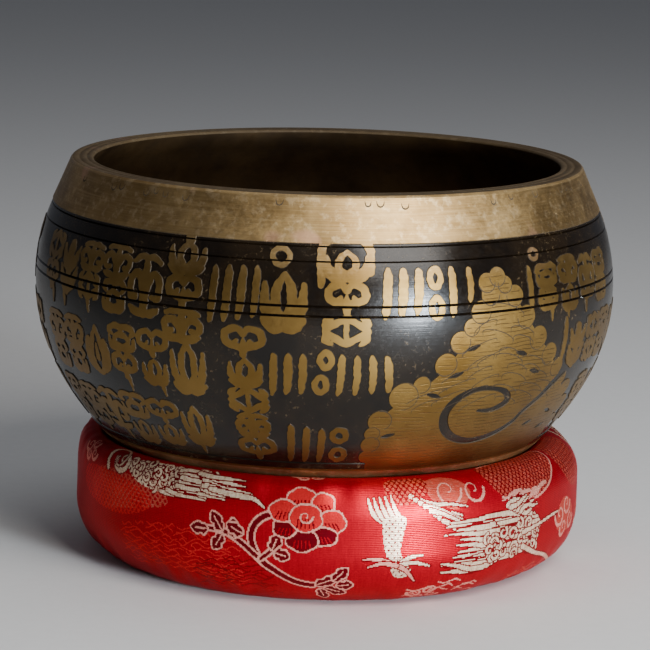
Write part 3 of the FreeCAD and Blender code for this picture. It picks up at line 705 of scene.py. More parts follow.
def make_bowl(outside, inside):
    """The casting: the etched skin, and the turned rest welded to it."""
    draw_bowl()
    v, f = etched_skin()
    x, s = v[:, 0], v[:, 1]
    level = np.clip(-relief.value(x, s) / WALL_RUN, 0, 1)
    level = np.where(level < 0.12, 0, np.where(level > 0.88, 1, level))
    groove = np.zeros(len(v))
    for centre, half in GROOVES:
        groove = np.maximum(groove, np.clip(1 - np.abs(s - centre) / half, 0, 1))
    height = -ETCH * (1 - level) - groove * (GROOVE_DEPTH + ETCH * level)
    height -= SCRATCH_DEPTH * (scratch.value(x, s) < -0.02)
    r, z = WALL.at(s)
    n = WALL.normal(s)
    phi = x / BELLY_R
    r, z = r + n[:, 0] * height, z + n[:, 1] * height
    skin = np.stack([r * np.sin(phi), -r * np.cos(phi), z], 1)
    outward = np.stack([n[:, 0] * np.sin(phi), -n[:, 0] * np.cos(phi), n[:, 1]], 1)

    # what each face is: 1 bare brass, 0 dark ground and grooves and the plain foot beside the cloud (there a painted
    # shade just above the cushion), 0.1 the relief's walls and scratches, and on the turned rows 0.7 the rim's outer
    # edge and 0.16 the rest
    cx, cs = v[f][:, :, 0].mean(1), v[f][:, :, 1].mean(1)
    d = relief.value(cx, cs)
    brass = (d < -WALL_RUN * 0.5).astype(float)
    brass[(d > -WALL_RUN) & (d < 0) & (np.ptp(level[f], axis=1) > 0.5)] = 0.1
    for centre, half in GROOVES:
        brass[np.abs(cs - centre) < half] = 0.0
    brass[scratch.value(cx, cs) < 0] = 0.1
    # painted shade: the plain foot beside the cloud, just above the cushion, takes the dark ground's colour
    brass[(cs > ETCH_END - 0.5) & (puff.value(cx, cs) > 0)] = 0.0
    f, face_normal, sound = close_strip(v, f, skin, outward)

    above, below, rim_rows = bowl_rows()
    upper_v, upper_f = turned(above, SECTORS)
    lower_v, lower_f = turned(below, SECTORS)
    blocks = ((upper_v, upper_f[:, ::-1], 0, SKIN_TOP), (lower_v, lower_f, 0, SKIN_END))
    verts, faces, used = sew(skin, s, f, blocks)
    obj = new_object("bowl_casting", verts, faces, mats=(outside, inside))
    mesh = obj.data

    turned_end = len(f) + len(upper_f)
    material = np.zeros(len(faces), np.int32)
    material[len(f) + rim_rows * SECTORS : turned_end] = 1
    mesh.polygons.foreach_set("material_index", material)
    zone = np.ones(len(faces))
    zone[: len(f)] = brass[sound]
    zone[len(f) : turned_end] = np.where(np.repeat(np.arange(len(above) - 1), SECTORS) < 3, 0.7, 0.16)
    store(mesh, "brass", "FLOAT", "FACE", zone)
    plan = np.zeros((len(used), 3))
    strip = used < len(v)
    plan[strip] = np.stack([x, s, np.clip(-puff.value(x, s), 0, 2)], 1)[used[strip]]
    store(mesh, "plan", "FLOAT_VECTOR", "POINT", plan)

    # the skin is shaded by its outline's normals, and flat on the relief's walls
    corner = np.empty(len(mesh.loops) * 3, np.float32)
    mesh.update()
    mesh.corner_normals.foreach_get("vector", corner)
    corner = corner.reshape(-1, 3)
    own = outward[f.ravel()].reshape(-1, 3, 3).copy()
    walls = np.ptp(height[f], axis=1) > 0.1
    own[walls] = face_normal[walls][:, None]
    corner[: 3 * len(f)] = own.reshape(-1, 3)
    mesh.normals_split_custom_set(corner.tolist())
    return obj


# ---- the cushion's section and its brocade

# Round the section: the hollow under the bowl, the crest, the shoulder, the foot, and the hole's side with two seams.
RING_R, SHOULDER_ARC, SHOULDER_Z, FOOT_ARC = 74.0, 13.5, 26.4, 16.5
CREST_ARC, HOLE_ARC, CLEAR, WADDING_IN = 2.6, 11.0, 0.3, 2.5
SHOULDER_C, FOOT_C = (RING_R - SHOULDER_ARC, SHOULDER_Z), (RING_R - FOOT_ARC, FOOT_ARC)
HOLLOW = LOWER_ARC + CLEAR
CREST_C = tuple(meet(SHOULDER_C, SHOULDER_ARC - CREST_ARC, LOWER, HOLLOW + CREST_ARC, (66, 35)))
HOLE_C = (LOWER[0] + math.sqrt((HOLLOW + HOLE_ARC) ** 2 - (LOWER[1] - HOLE_ARC) ** 2), HOLE_ARC)
SEAM_R = 40.0
SEAM_TURN = math.degrees(math.acos((SEAM_R - HOLE_C[0]) / HOLE_ARC))
CREST_S = 9.0


def ring_outline(inset=0.0, step=0.6):
    """The outer panel's section from the upper seam over the crest and underneath to the lower one."""
    mouth = angle(LOWER, HOLE_C)
    crest_end = angle(LOWER, CREST_C)
    shoulder_end = angle(SHOULDER_C, CREST_C)
    parts = [
        arc(HOLE_C, HOLE_ARC - inset, SEAM_TURN, mouth + 180, step),
        arc(LOWER, HOLLOW + inset, mouth, crest_end, step),
        arc(CREST_C, CREST_ARC - inset, crest_end + 180, shoulder_end, step),
        arc(SHOULDER_C, SHOULDER_ARC - inset, shoulder_end, 0, step),
        arc(FOOT_C, FOOT_ARC - inset, 0, -90, step),
        arc(HOLE_C, HOLE_ARC - inset, 270, 360 - SEAM_TURN, step),
    ]
    return Outline(np.vstack(parts))


COVER = ring_outline()
COVER.s += CREST_S - float(COVER.s[np.argmax(COVER.points[:, 1])])
WEAVE_STEP, WEAVE_LOW, WEAVE_HIGH = 0.3, 4.2, 53.4
CUSHION_DEG = math.pi / 180 * RING_R
weave = Canvas(2 * math.pi * RING_R, WEAVE_LOW, WEAVE_HIGH, WEAVE_STEP, cells=True)
SATIN, GOLD, SALMON, MAROON, PINK, SHADE, ROSE = range(7)
# each thread's colour, and how much of it is metal
THREADS = np.array(
    [
        (0.37, 0.001, 0.010, 0.0),
        (0.82, 0.63, 0.42, 0.85),
        (0.54, 0.060, 0.036, 0.15),
        (0.13, 0.002, 0.006, 0.0),
        (0.84, 0.33, 0.25, 0.3),
        (0.19, 0.001, 0.005, 0.0),
        (0.62, 0.018, 0.020, 0.0),
    ]
)
cloth = np.zeros(weave.d.shape, int)


def dye(kind, only=None):
    """Gives what was just drawn to one of the threads, and clears the board."""
    mask = weave.d < 0
    if only is not None:
        mask &= only
    cloth[mask] = kind
    weave.clear()
    return mask


def at(phi, s, *points):
    """Points given in millimetres about (phi, s), x to the right and y down."""
    return [(phi * CUSHION_DEG + p[0], s + p[1], *p[2:]) for p in points]


def polar(points):
    """(phi, s, ...) to (x, s, ...) on the brocade."""
    return laid(points, CUSHION_DEG)


def away(points, phi=0.0, side=1):
    """The same about an angle phi, mirrored there if side is -1."""
    return polar([(phi + side * p[0], *p[1:]) for p in points])


def blossom(phi, s, size=1.0, side=1):
    """An open peony: round petals one over another, each with a pale edge, and a curl in the middle."""
    petals = (
        (-0.6, -5.6, 4.4, 3.4, ROSE), (6.2, -4.2, 3.4, 3.2, ROSE), (9.0, 1.6, 4.0, 3.6, ROSE),
        (6.4, 6.2, 4.2, 2.8, MAROON), (-0.2, 7.6, 4.8, 3.4, MAROON), (-5.6, 3.8, 3.6, 3.0, MAROON),
        (-6.2, -1.6, 4.2, 3.4, ROSE), (0.8, 0.4, 4.8, 4.2, ROSE),
    )
    for dx, dy, rx, ry, kind in petals:
        out = math.atan2(dy, dx)
        loop = []
        for a in np.radians(np.arange(0, 360, 12)):
            frill = 1.04 + 0.13 * abs(math.cos(2.5 * (a - out))) * (0.35 + 0.65 * max(0.0, math.cos(a - out)))
            loop.append((side * size * (dx + rx * frill * math.cos(a)), size * (dy + ry * frill * math.sin(a))))
        weave.area(at(phi, s, *loop))
        inner = dye(kind)
        for k in (-2, -1, 0, 1, 2):
            root = (side * size * (dx * 0.9 + k * 1.1), size * (dy + ry * 0.1))
            tip = (side * size * (dx + k * 1.35), size * (dy + ry * 0.75))
            weave.stroke(at(phi, s, root, tip), 0.4)
        dye(MAROON if kind == ROSE else SATIN, only=inner)
        weave.stroke(at(phi, s, *loop), 0.5, closed=True)
        dye(PINK)
    curl(phi + side * size * 0.6, s, 2.4 * size, side, PINK, 0.6)


def stem(points, width=1.5):
    """A dark stem between two pale outlines."""
    weave.stroke(points, width + 1.15)
    dye(PINK)
    weave.stroke(points, width)
    dye(MAROON)


LEAF = ((0, 0), (0.22, 0.42), (0.4, 0.36), (0.62, 0.54), (1.12, 0.05), (0.72, -0.5), (0.5, -0.36), (0.26, -0.5))


def leaf(phi, s, lean, length, wide=3.7):
    """A dark lobed leaf with a pale edge and vein."""
    a = math.radians(lean)
    ux, uy = math.cos(a), math.sin(a)
    loop = [(u * length * ux - v * wide * uy, u * length * uy + v * wide * ux) for u, v in LEAF]
    weave.area(at(phi, s, *loop), grow=0.2)
    dye(MAROON)
    weave.stroke(at(phi, s, *loop), 0.5, closed=True)
    weave.stroke(at(phi, s, (0, 0), (ux * length * 0.8, uy * length * 0.8)), 0.4)
    dye(PINK)


def curl(phi, s, size, side=1, kind=GOLD, weight=1.3, turn=0.0):
    """A spiral hook."""
    t = np.radians(np.linspace(0, 430, 15))
    reach = size * (1 - t / t[-1] * 0.86)
    path = [
        (side * r * math.cos(a + turn), r * math.sin(a + turn), weight * (0.7 + 0.3 * math.cos(a / 2)))
        for a, r in zip(t, reach)
    ]
    lock(at(phi, s, *path), kind, SHADE if kind == GOLD else None)


def lock(points, kind=GOLD, edge=SHADE):
    """One strand with a dark line either side of it."""
    if edge is not None:
        weave.stroke([(x, y, w + 0.75) for x, y, w in points])
        dye(edge)
    weave.stroke(points)
    dye(kind)


def strands(phi, s, count, length, lean, gap, wave, seed):
    """Long waving locks laid side by side, thick at the root and pointed at the tip."""
    local = np.random.default_rng(seed)
    a = math.radians(lean)
    for k in local.permutation(count):
        reach = length * local.uniform(0.68, 1.0)
        y = (k - count / 2) * gap
        off = local.uniform(-2.5, 2.5)
        path = []
        for u in np.linspace(0, 1, 7):
            w = wave * math.sin(u * 5.6 + k * 0.35 + 0.6)
            x = off + u * reach * math.cos(a) - w * math.sin(a)
            path.append((x, y + u * reach * math.sin(a) + w * math.cos(a), 1.2 - 0.85 * u))
        lock(at(phi, s, *path))


def scales(loop, kind, ground, pitch, weight):
    """Overlapping scallops over an outlined patch."""
    weave.area(loop)
    patch = weave.d < 0
    weave.clear()
    if ground is not None:
        cloth[patch] = ground
    p = np.asarray(loop)
    low, high = p.min(0), p.max(0)
    row = 0
    y = low[1] - pitch
    while y < high[1] + pitch:
        x = low[0] - pitch + (row % 2) * pitch / 2
        while x < high[0] + pitch:
            left, right = (x - pitch * 0.3, y + pitch * 0.5), (x + pitch * 0.3, y + pitch * 0.5)
            weave.stroke([(x - pitch / 2, y), left, (x, y + pitch * 0.68), right, (x + pitch / 2, y)], weight)
            x += pitch
        y += pitch * 0.62
        row += 1
    dye(kind, only=patch)


def waves(phi, s, wide, rows, gap, kind, weight, seed):
    """Fine broken wave lines, as of water."""
    local = np.random.default_rng(seed)
    for k in range(rows):
        x = -wide / 2 + local.uniform(0, 4)
        while x < wide / 2:
            run = local.uniform(3, 8)
            rise = math.sin((x / wide + 0.5) * math.pi) * 3
            path = [(x + u * run, k * gap - rise + 0.6 * math.sin(u * 6.3 + k)) for u in (0, 0.25, 0.5, 0.75, 1)]
            weave.stroke(at(phi, s, *path), weight)
            x += run + local.uniform(0.8, 2.0)
    dye(kind)


def cloud_puff(phi, s, size, filled=False):
    """A small lobed cloud of hooks."""
    if filled:
        loop = ((-5, 2), (-4, -2), (-1, -4), (3, -3), (6, 0), (5, 3), (0, 4))
        weave.area(at(phi, s, *[(size * x, size * y) for x, y in loop]))
        dye(SALMON)
    for x, y, r, hand in ((-3.2, -0.5, 2.8, -1), (1.2, -2.2, 2.6, 1), (3.8, 1.6, 2.4, 1), (-0.8, 2.6, 2.2, -1)):
        curl(phi + size * x / CUSHION_DEG, s + size * y, r * size, hand, PINK, 1.05)


def mane(points, seed, count, reach, lean, weight=1.2, kind=GOLD, edge=SHADE):
    """Locks that start along a line and all blow one way."""
    local = np.random.default_rng(seed)
    line = smooth_path(points, step=0.5)
    for k in local.permutation(count):
        x, y = line[int((k + 0.5) / count * (len(line) - 1))][:2]
        length = reach * local.uniform(0.7, 1.05)
        a = math.radians(lean + local.uniform(-5, 5))
        bend = local.uniform(-0.9, 0.9)
        path = []
        for u in (0, 0.2, 0.45, 0.7, 1.0):
            w = bend * math.sin(u * 5.0)
            across, down = u * length * math.cos(a) - w * math.sin(a), u * length * math.sin(a) + w * math.cos(a)
            path.append((x + across, y + down, weight * (1.15 - 0.85 * u * u)))
        lock(path, kind, edge)


def knots(low, high, count, seed, curl_seed, place=polar, size=1.5):
    """A crowd of small curls in a box from low to high."""
    crowd, local = np.random.default_rng(seed), np.random.default_rng(curl_seed)
    for x, y in place([(crowd.uniform(low[0], high[0]), crowd.uniform(low[1], high[1])) for _ in range(count)]):
        r = size * local.uniform(0.8, 1.25)
        a = local.uniform(0, 6.3)
        side = local.choice((-1, 1))
        turns = [(a + t, r * (1 - t / 9)) for t in np.linspace(0, 5.2, 8)]
        lock([(x + side * reach * math.cos(b), y + reach * math.sin(b), 0.75) for b, reach in turns])


def left_figure(phi, side=1):
    """The left gold figure: a curl, scales, and a brush of locks."""

    def put(points):
        return away(points, phi, side)

    scales(put([(-25, 18), (-12, 17), (-2, 19), (0, 24), (-10, 27), (-20, 29), (-28, 26)]), SALMON, None, 2.0, 0.45)
    scales(put([(-13, 13), (-3, 11), (6, 11.5), (12, 13.5), (8, 18), (-2, 20), (-10, 18)]), GOLD, MAROON, 1.9, 0.75)
    knots((-12, 11.5), (12, 19), 34, 8, 9, put)
    mane(put([(2, 11), (4, 14), (3, 17), (-2, 20)]), 3, 11, side * 17.0, 5 * side, 1.15)
    mane(put([(8, 12), (10, 14), (10, 17)]), 5, 7, side * 15.0, 9 * side, 1.25)
    lock(put([(12, 16.5, 1.3), (18, 17.5, 1.6), (22.5, 18.2, 1.2), (25.0, 20.4, 0.5)]))
    curl(phi - side * 15.5, 13.5, 4.0, -side, GOLD, 1.7)
    curl(phi - side * 17.5, 13.2, 6.0, side, GOLD, 1.2, 2.4)


def right_figure():
    """The right gold figure: a clawed arm, a great mane, whiskers and a scaled fin."""
    fin = [(41, 9), (54, 6.5), (65, 8), (66, 14), (61, 20), (52, 22.5), (43, 20), (40, 14)]
    scales(polar(fin), SHADE, SALMON, 1.7, 0.4)
    weave.stroke(polar([(41, 9), (54, 6.5), (65, 8), (66.5, 14), (61.5, 20), (52, 22.8), (43, 20.4)]), 0.6)
    dye(PINK)
    mane(polar([(48, 19.5), (54, 20.5), (60, 19.5)]), 30, 9, -8, -16, 0.8, PINK, None)
    weave.area(polar([(23.5, 14), (28, 12), (33, 14), (34.5, 18), (31, 21.5), (26, 20)]))
    dye(SALMON)
    curl(35.5, 17.0, 3.8, 1, PINK, 0.8)
    curl(29.0, 16.4, 4.6, 1, PINK, 0.7)
    scales(polar([(14.5, 13), (19, 11), (24, 12), (24, 17), (19, 19.5), (15.5, 18)]), SHADE, SALMON, 1.7, 0.4)
    mane(polar([(20, 17), (24, 21), (28, 25), (33, 29)]), 41, 13, 17.5, 19, 1.0)
    for k in range(5):
        root = [(10.6 + 1.25 * k, 17.2 - 0.1 * k, 0.4), (11.2 + 1.3 * k, 20.4, 1.0)]
        lock(polar(root + [(12.6 + 1.2 * k, 22.8, 1.2), (15.6 + 0.5 * k, 24.4, 1.3)]))
    arm = [(14.2, 23), (18.6, 22.5), (18.2, 28), (17.8, 33), (20.5, 38.5), (16.8, 39.5), (14.6, 33), (13.8, 27)]
    scales(polar(arm), GOLD, MAROON, 1.7, 0.8)
    for k, (d, q) in enumerate(((9.6, 34.4), (22.6, 33.6), (24.4, 36.6), (21.4, 41.0), (10.8, 36.6))):
        claw = [(17, 36.2, 1.2), ((17 + d) / 2, (36.2 + q) / 2 - 0.9, 1.0), (d, q, 0.4)]
        lock(polar(claw), GOLD if k in (1, 2) else PINK)
    mane(polar([(45, 25.5), (50, 26), (54, 27.5), (56, 30.5), (54.5, 34), (50, 36.5)]), 21, 15, -24.0, 1, 1.35)
    mane(polar([(40, 27), (42, 30), (43, 33), (42, 37), (38, 39)]), 22, 13, -17.0, 2, 1.35)
    knots((38, 28.5), (55, 37), 30, 28, 19, size=1.6)
    mane(polar([(44, 22.5), (47, 24.5), (50, 26)]), 23, 6, 9.0, -14, 1.1)
    lock(polar([(50, 31.5, 1.4), (56, 30.6, 0.9), (62, 29.6, 0.8), (67, 29.4, 0.6)]))
    lock(polar([(50, 35.5, 1.4), (56, 38.8, 1.1), (62, 41.2, 1.0), (70, 45.6, 0.9), (80, 50.4, 0.6)]))


def draw_cloth():
    """The brocade: gold curls, locks and scales, blossoms with dark stems, small clouds and water."""
    left_figure(-37)
    scales(polar([(-68, 19), (-55, 18), (-44, 21), (-42, 26), (-52, 30), (-64, 29), (-70, 25)]), ROSE, None, 1.8, 0.5)
    waves(-36, 32.5, 42, 13, 1.15, ROSE, 0.4, 2)
    waves(-20, 39, 26, 9, 1.15, SHADE, 0.4, 4)
    cloud_puff(-69, 14, 0.9)

    main = [(-1, 43.4), (-5, 42.2), (-9, 39), (-12.5, 35.5), (-14.5, 31), (-14.4, 26.5), (-12, 23), (-8, 21.6)]
    stem(polar(main + [(-5.5, 22)]))
    stem(polar([(-13.4, 34.6), (-17, 31), (-21, 28.4), (-25, 28.0)]), 1.1)
    stem(polar([(-12.5, 35.2), (-10.2, 32.6)]), 0.9)
    leaves = (
        (-25, 28.4, 178, 5.4), (-21.5, 28.4, 235, 5.8), (-18.5, 30.2, 262, 5.4), (-21.5, 29.2, 120, 5.0),
        (-16.5, 28.6, 205, 5.2), (-10, 32.6, 290, 4.6), (-9.6, 33.0, 15, 4.2), (-0.5, 43.6, 330, 6.6, 3.6),
        (1.5, 44.4, 15, 6.0, 3.6), (0.5, 45.0, 70, 5.2, 3.6), (3.4, 41.4, 310, 5.4, 3.6), (4.2, 43.2, 350, 4.4, 3.6),
    )
    for place in leaves:
        leaf(*place)
    blossom(-3.4, 22.4, 0.88)
    cloud_puff(-3, 7.5, 0.8)

    right_figure()
    cloud_puff(70, 31.5, 1.3, True)
    scales(polar([(69, 9), (76, 7.5), (84, 9), (85, 18), (79, 25), (71, 21)]), SHADE, SALMON, 1.8, 0.4)
    waves(28, 45.0, 22, 3, 1.4, PINK, 0.5, 8)
    cloud_puff(25, 46.5, 0.9)
    waves(55, 46, 22, 3, 1.5, SALMON, 0.5, 9)

    for turn, side in ((112, 1), (-118, -1), (168, 1)):
        left_figure(turn, side)
        scales(away([(-30, 30), (-14, 31), (-10, 36), (-22, 39), (-33, 36)], turn), SALMON, None, 2.2, 0.5)
        stem(away([(22, 43), (15, 40), (10, 34), (12, 27), (17, 24)], turn))
        for d, s, lean in ((10, 34, 200), (9, 32, 240), (12, 38, 120), (22, 43, 20), (23, 44, 330)):
            leaf(turn + d, s, lean, 5.6)
        blossom(turn + 21, 23, 0.9, side)
        waves(turn, 36, 34, 9, 1.5, SALMON, 0.55, int(turn) % 13)
        cloud_puff(turn - 22, 36, 1.2, True)
        strands(turn - 30, 41, 8, 24, 6, 1.3, 0.9, 31)


def swell(phi, s):
    """How far the stuffed cover stands off its pattern: it bulges more to the right, and is gathered at the edges."""
    ease = np.clip((s - CREST_S - 0.5) / 14, 0, 1)
    ease = ease * ease * (3 - 2 * ease)
    floor = np.clip((58.0 - s) / 16, 0, 1)
    ease = ease * floor * floor * (3 - 2 * floor)
    out = 2.3 * np.sin(phi) + 0.5 * np.sin(3 * phi + 0.6) + 0.32 * np.sin(7 * phi + 2.1 + s * 0.05)
    out = ease * (out + 0.35 * np.sin(2 * phi - s * 0.04))
    crease = np.sin(31 * phi + 2.0 * np.sin(3 * phi) + s * 0.09) * np.sin(9 * phi + 1.0)
    crease += 0.7 * np.sin(53 * phi + 1.7 * np.sin(5 * phi + 1) - s * 0.06) * np.sin(4 * phi + 0.3)
    near_top = np.exp(-(((s - CREST_S - 5.5) / 5.0) ** 2)) * (s > CREST_S - 0.5)
    near_foot = np.exp(-(((s - 47.0) / 6.5) ** 2))
    gap = 0.9 * np.exp(-(((s - CREST_S - 0.4) / 2.6) ** 2)) * (s > 2)
    seam = 1 - np.exp(-(((np.abs(phi) - math.pi) / 0.06) ** 2))
    return (out + 0.16 * crease * near_top + 0.22 * crease * near_foot) * seam - gap


def cover_place(phi, s):
    """Points of the stuffed cover."""
    r, z = COVER.at(s)
    n = COVER.normal(s)
    off = swell(phi, s)
    r, z = r + n[..., 0] * off, z + n[..., 1] * off
    return np.stack([r * np.sin(phi), -r * np.cos(phi), np.where(s > 50, np.maximum(z, 0.03), z)], -1)


def cover_normal(phi, s):
    step = 0.25
    down = cover_place(phi, s + step) - cover_place(phi, s - step)
    across = cover_place(phi + step / RING_R, s) - cover_place(phi - step / RING_R, s)
    n = np.cross(across, down)
    return -n / np.linalg.norm(n, axis=-1, keepdims=True)


def cloth_strip():
    """The showing part of the brocade, cut along the steps of its figures."""
    sheet = Sheet(weave.width / 2, WEAVE_LOW, WEAVE_HIGH)
    index, edges = {}, set()

    def corner(i, j):
        if (i, j) not in index:
            index[i, j] = len(sheet.points)
            sheet.points.append((-weave.width / 2 + i * weave.dx, weave.low + j * weave.dy))
        return index[i, j]

    def runs(change, upright):
        for line in np.nonzero(change.any(1))[0].tolist():
            steps = np.flatnonzero(np.diff(np.r_[0, change[line].astype(int), 0])).tolist()
            for pair in zip(steps[::2], steps[1::2]):
                edges.add(tuple(corner(line + 1, k) if upright else corner(k, line + 1) for k in pair))

    runs((cloth[:, 1:] != cloth[:, :-1]).T, True)
    runs(cloth[1:] != cloth[:-1], False)
    for s in (WEAVE_LOW, WEAVE_HIGH):
        sheet.level(s)
    sheet.sides(2.0)
    sheet.edges = list(edges | set(sheet.edges))
    sheet.fill(0.9, 0.4, 1.5, 0.2)
    return sheet.triangulate()


def make_cover(fabric):
    """The outer panel: the brocade where it shows, and plain rows in the hollow and underneath."""
    draw_cloth()
    cloth[:, :1] = cloth[:, -1:]
    v, f = cloth_strip()
    phi, s = v[:, 0] / RING_R, v[:, 1]
    skin = cover_place(phi, s)
    centre = v[f].mean(1)
    i = np.clip(((centre[:, 0] + weave.width / 2) / weave.dx).astype(int), 0, weave.nx - 1)
    j = np.clip(((centre[:, 1] - weave.low) / weave.dy).astype(int), 0, weave.ny - 1)
    f, _, sound = close_strip(v, f, skin, cover_normal(phi, s))
    kinds = cloth[j, i][sound]

    turn = -math.pi + 2 * math.pi * np.arange(SECTORS) / SECTORS
    blocks, strip_s = [], s
    for levels, edge in ((np.linspace(COVER.s[0], WEAVE_LOW, 18), -1), (np.linspace(WEAVE_HIGH, COVER.s[-1], 24), 0)):
        grid_phi, grid_s = np.meshgrid(turn, levels)
        quads = ring_quads(len(levels), SECTORS)
        blocks.append((cover_place(grid_phi, grid_s).reshape(-1, 3), quads, edge, levels[edge]))
        phi, s = np.r_[phi, grid_phi.ravel()], np.r_[s, grid_s.ravel()]
    verts, faces, used = sew(skin, strip_s, f, blocks)
    obj = new_object("cushion_cover", verts, faces, mats=(fabric,))
    mesh = obj.data
    colour = np.tile(THREADS[SATIN], (len(faces), 1))
    colour[: len(kinds)] = THREADS[kinds]
    store(mesh, "threads", "FLOAT_COLOR", "FACE", colour)
    store(mesh, "weft", "FLOAT_VECTOR", "POINT", np.stack([phi * RING_R, s, 0 * s], -1)[used])
    corner = np.empty(len(mesh.loops), np.int32)
    mesh.loops.foreach_get("vertex_index", corner)
    mesh.normals_split_custom_set(cover_normal(phi[used], s[used])[corner].tolist())
    return obj


def make_lining(fabric):
    """The inner panel in the hole, gathered a little at its two seams."""
    rows, sectors, folds = 40, 360, 48
    verts, quads = turned(around(HOLE_C, HOLE_ARC, np.linspace(SEAM_TURN, 360 - SEAM_TURN, rows)), sectors)
    phi = np.arctan2(verts[:, 0], -verts[:, 1])
    k = np.repeat(np.linspace(0, 1, rows), sectors)
    gather = 0.22 * np.sin(folds * phi) * (np.abs(k - 0.5) * 2) ** 2 * np.sin(np.pi * np.clip(k, 0.03, 0.97))
    verts[:, :2] *= (1 - gather / 38)[:, None]
    return new_object("cushion_lining", verts, quads[:, ::-1], mats=(fabric,))


def make_wadding(stuff):
    """The ring of fibre inside the cover, a little smaller than its space."""
    sectors, middle_r, middle_z = 180, 55, 18
    hole = around(HOLE_C, HOLE_ARC - WADDING_IN, np.linspace(360 - SEAM_TURN, SEAM_TURN, 16)[1:-1])
    loop = np.vstack([ring_outline(WADDING_IN, 1.6).points, hole])
    verts, quads = turned(np.vstack([loop, loop[:1]]), sectors)
    verts, quads = verts[: len(loop) * sectors], quads % (len(loop) * sectors)
    r = np.hypot(verts[:, 0], verts[:, 1])
    verts[:, :2] *= ((middle_r + (r - middle_r) * 0.92) / r)[:, None]
    verts[:, 2] = middle_z + (verts[:, 2] - middle_z) * 0.93
    return new_object("cushion_wadding", verts, quads, mats=(stuff,))


# ---- materials


class Nodes:
    """Short calls for building one material's nodes."""

    def __init__(self, name):
        self.mat = bpy.data.materials.new(name)
        self.mat.use_nodes = True
        self.tree = self.mat.node_tree
        self.shader = next(n for n in self.tree.nodes if n.type == "BSDF_PRINCIPLED")

    def add(self, kind, inputs=(), **settings):
        node = self.tree.nodes.new(kind)
        for key, value in settings.items():
            setattr(node, key, value)
        for key, value in dict(inputs).items():
            self.link(value, node.inputs[key])
        return node

    def link(self, value, socket):
        if isinstance(value, bpy.types.NodeSocket):
            self.tree.links.new(value, socket)
        else:
            socket.default_value = value

    def maths(self, operation, a, b):
        return self.add("ShaderNodeMath", {0: a, 1: b}, operation=operation).outputs[0]

    def times(self, a, b):
        return self.maths("MULTIPLY", a, b)

    def total(self, first, *others):
        """The sum of (value, weight) pairs."""
        out = self.times(*first)
        for pair in others:
            out = self.maths("ADD", out, self.times(*pair))
        return out

    def noise(self, vector, scale, detail, rough):
        inputs = {"Vector": vector, "Scale": scale, "Detail": detail, "Roughness": rough}
        return self.add("ShaderNodeTexNoise", inputs).outputs["Fac"]

    def bands(self, vector, scale, distortion, detail, detail_scale=1.0):
        inputs = {"Vector": vector, "Scale": scale, "Distortion": distortion, "Detail": detail}
        inputs["Detail Scale"] = detail_scale
        return self.add("ShaderNodeTexWave", inputs, bands_direction="Y").outputs["Fac"]

    def span(self, value, low, high, to_low=0.0, to_high=1.0):
        """value's run from low to high, stretched to another."""
        inputs = {"Value": value, "From Min": low, "From Max": high, "To Min": to_low, "To Max": to_high}
        return self.add("ShaderNodeMapRange", inputs).outputs["Result"]

    def mix(self, factor, a, b):
        node = self.add("ShaderNodeMix", data_type="RGBA")
        self.link(factor, node.inputs["Factor"])
        for value, socket in ((a, node.inputs[6]), (b, node.inputs[7])):
            self.link(value if isinstance(value, bpy.types.NodeSocket) else (*value, 1.0), socket)
        return node.outputs[2]

    def stretch(self, vector, scale):
        return self.add("ShaderNodeMapping", {"Vector": vector, "Scale": scale}).outputs[0]

    def where(self):
        return self.add("ShaderNodeTexCoord").outputs["Object"]

    def named(self, name, output="Fac"):
        return self.add("ShaderNodeAttribute", attribute_name=name).outputs[output]

    def set(self, **inputs):
        for key, value in inputs.items():
            self.link(value, self.shader.inputs[key.replace("_", " ")])

    def bump(self, height, strength, distance):
        node = self.add("ShaderNodeBump", {"Height": height, "Strength": strength, "Distance": distance * MM})
        self.link(node.outputs[0], self.shader.inputs["Normal"])


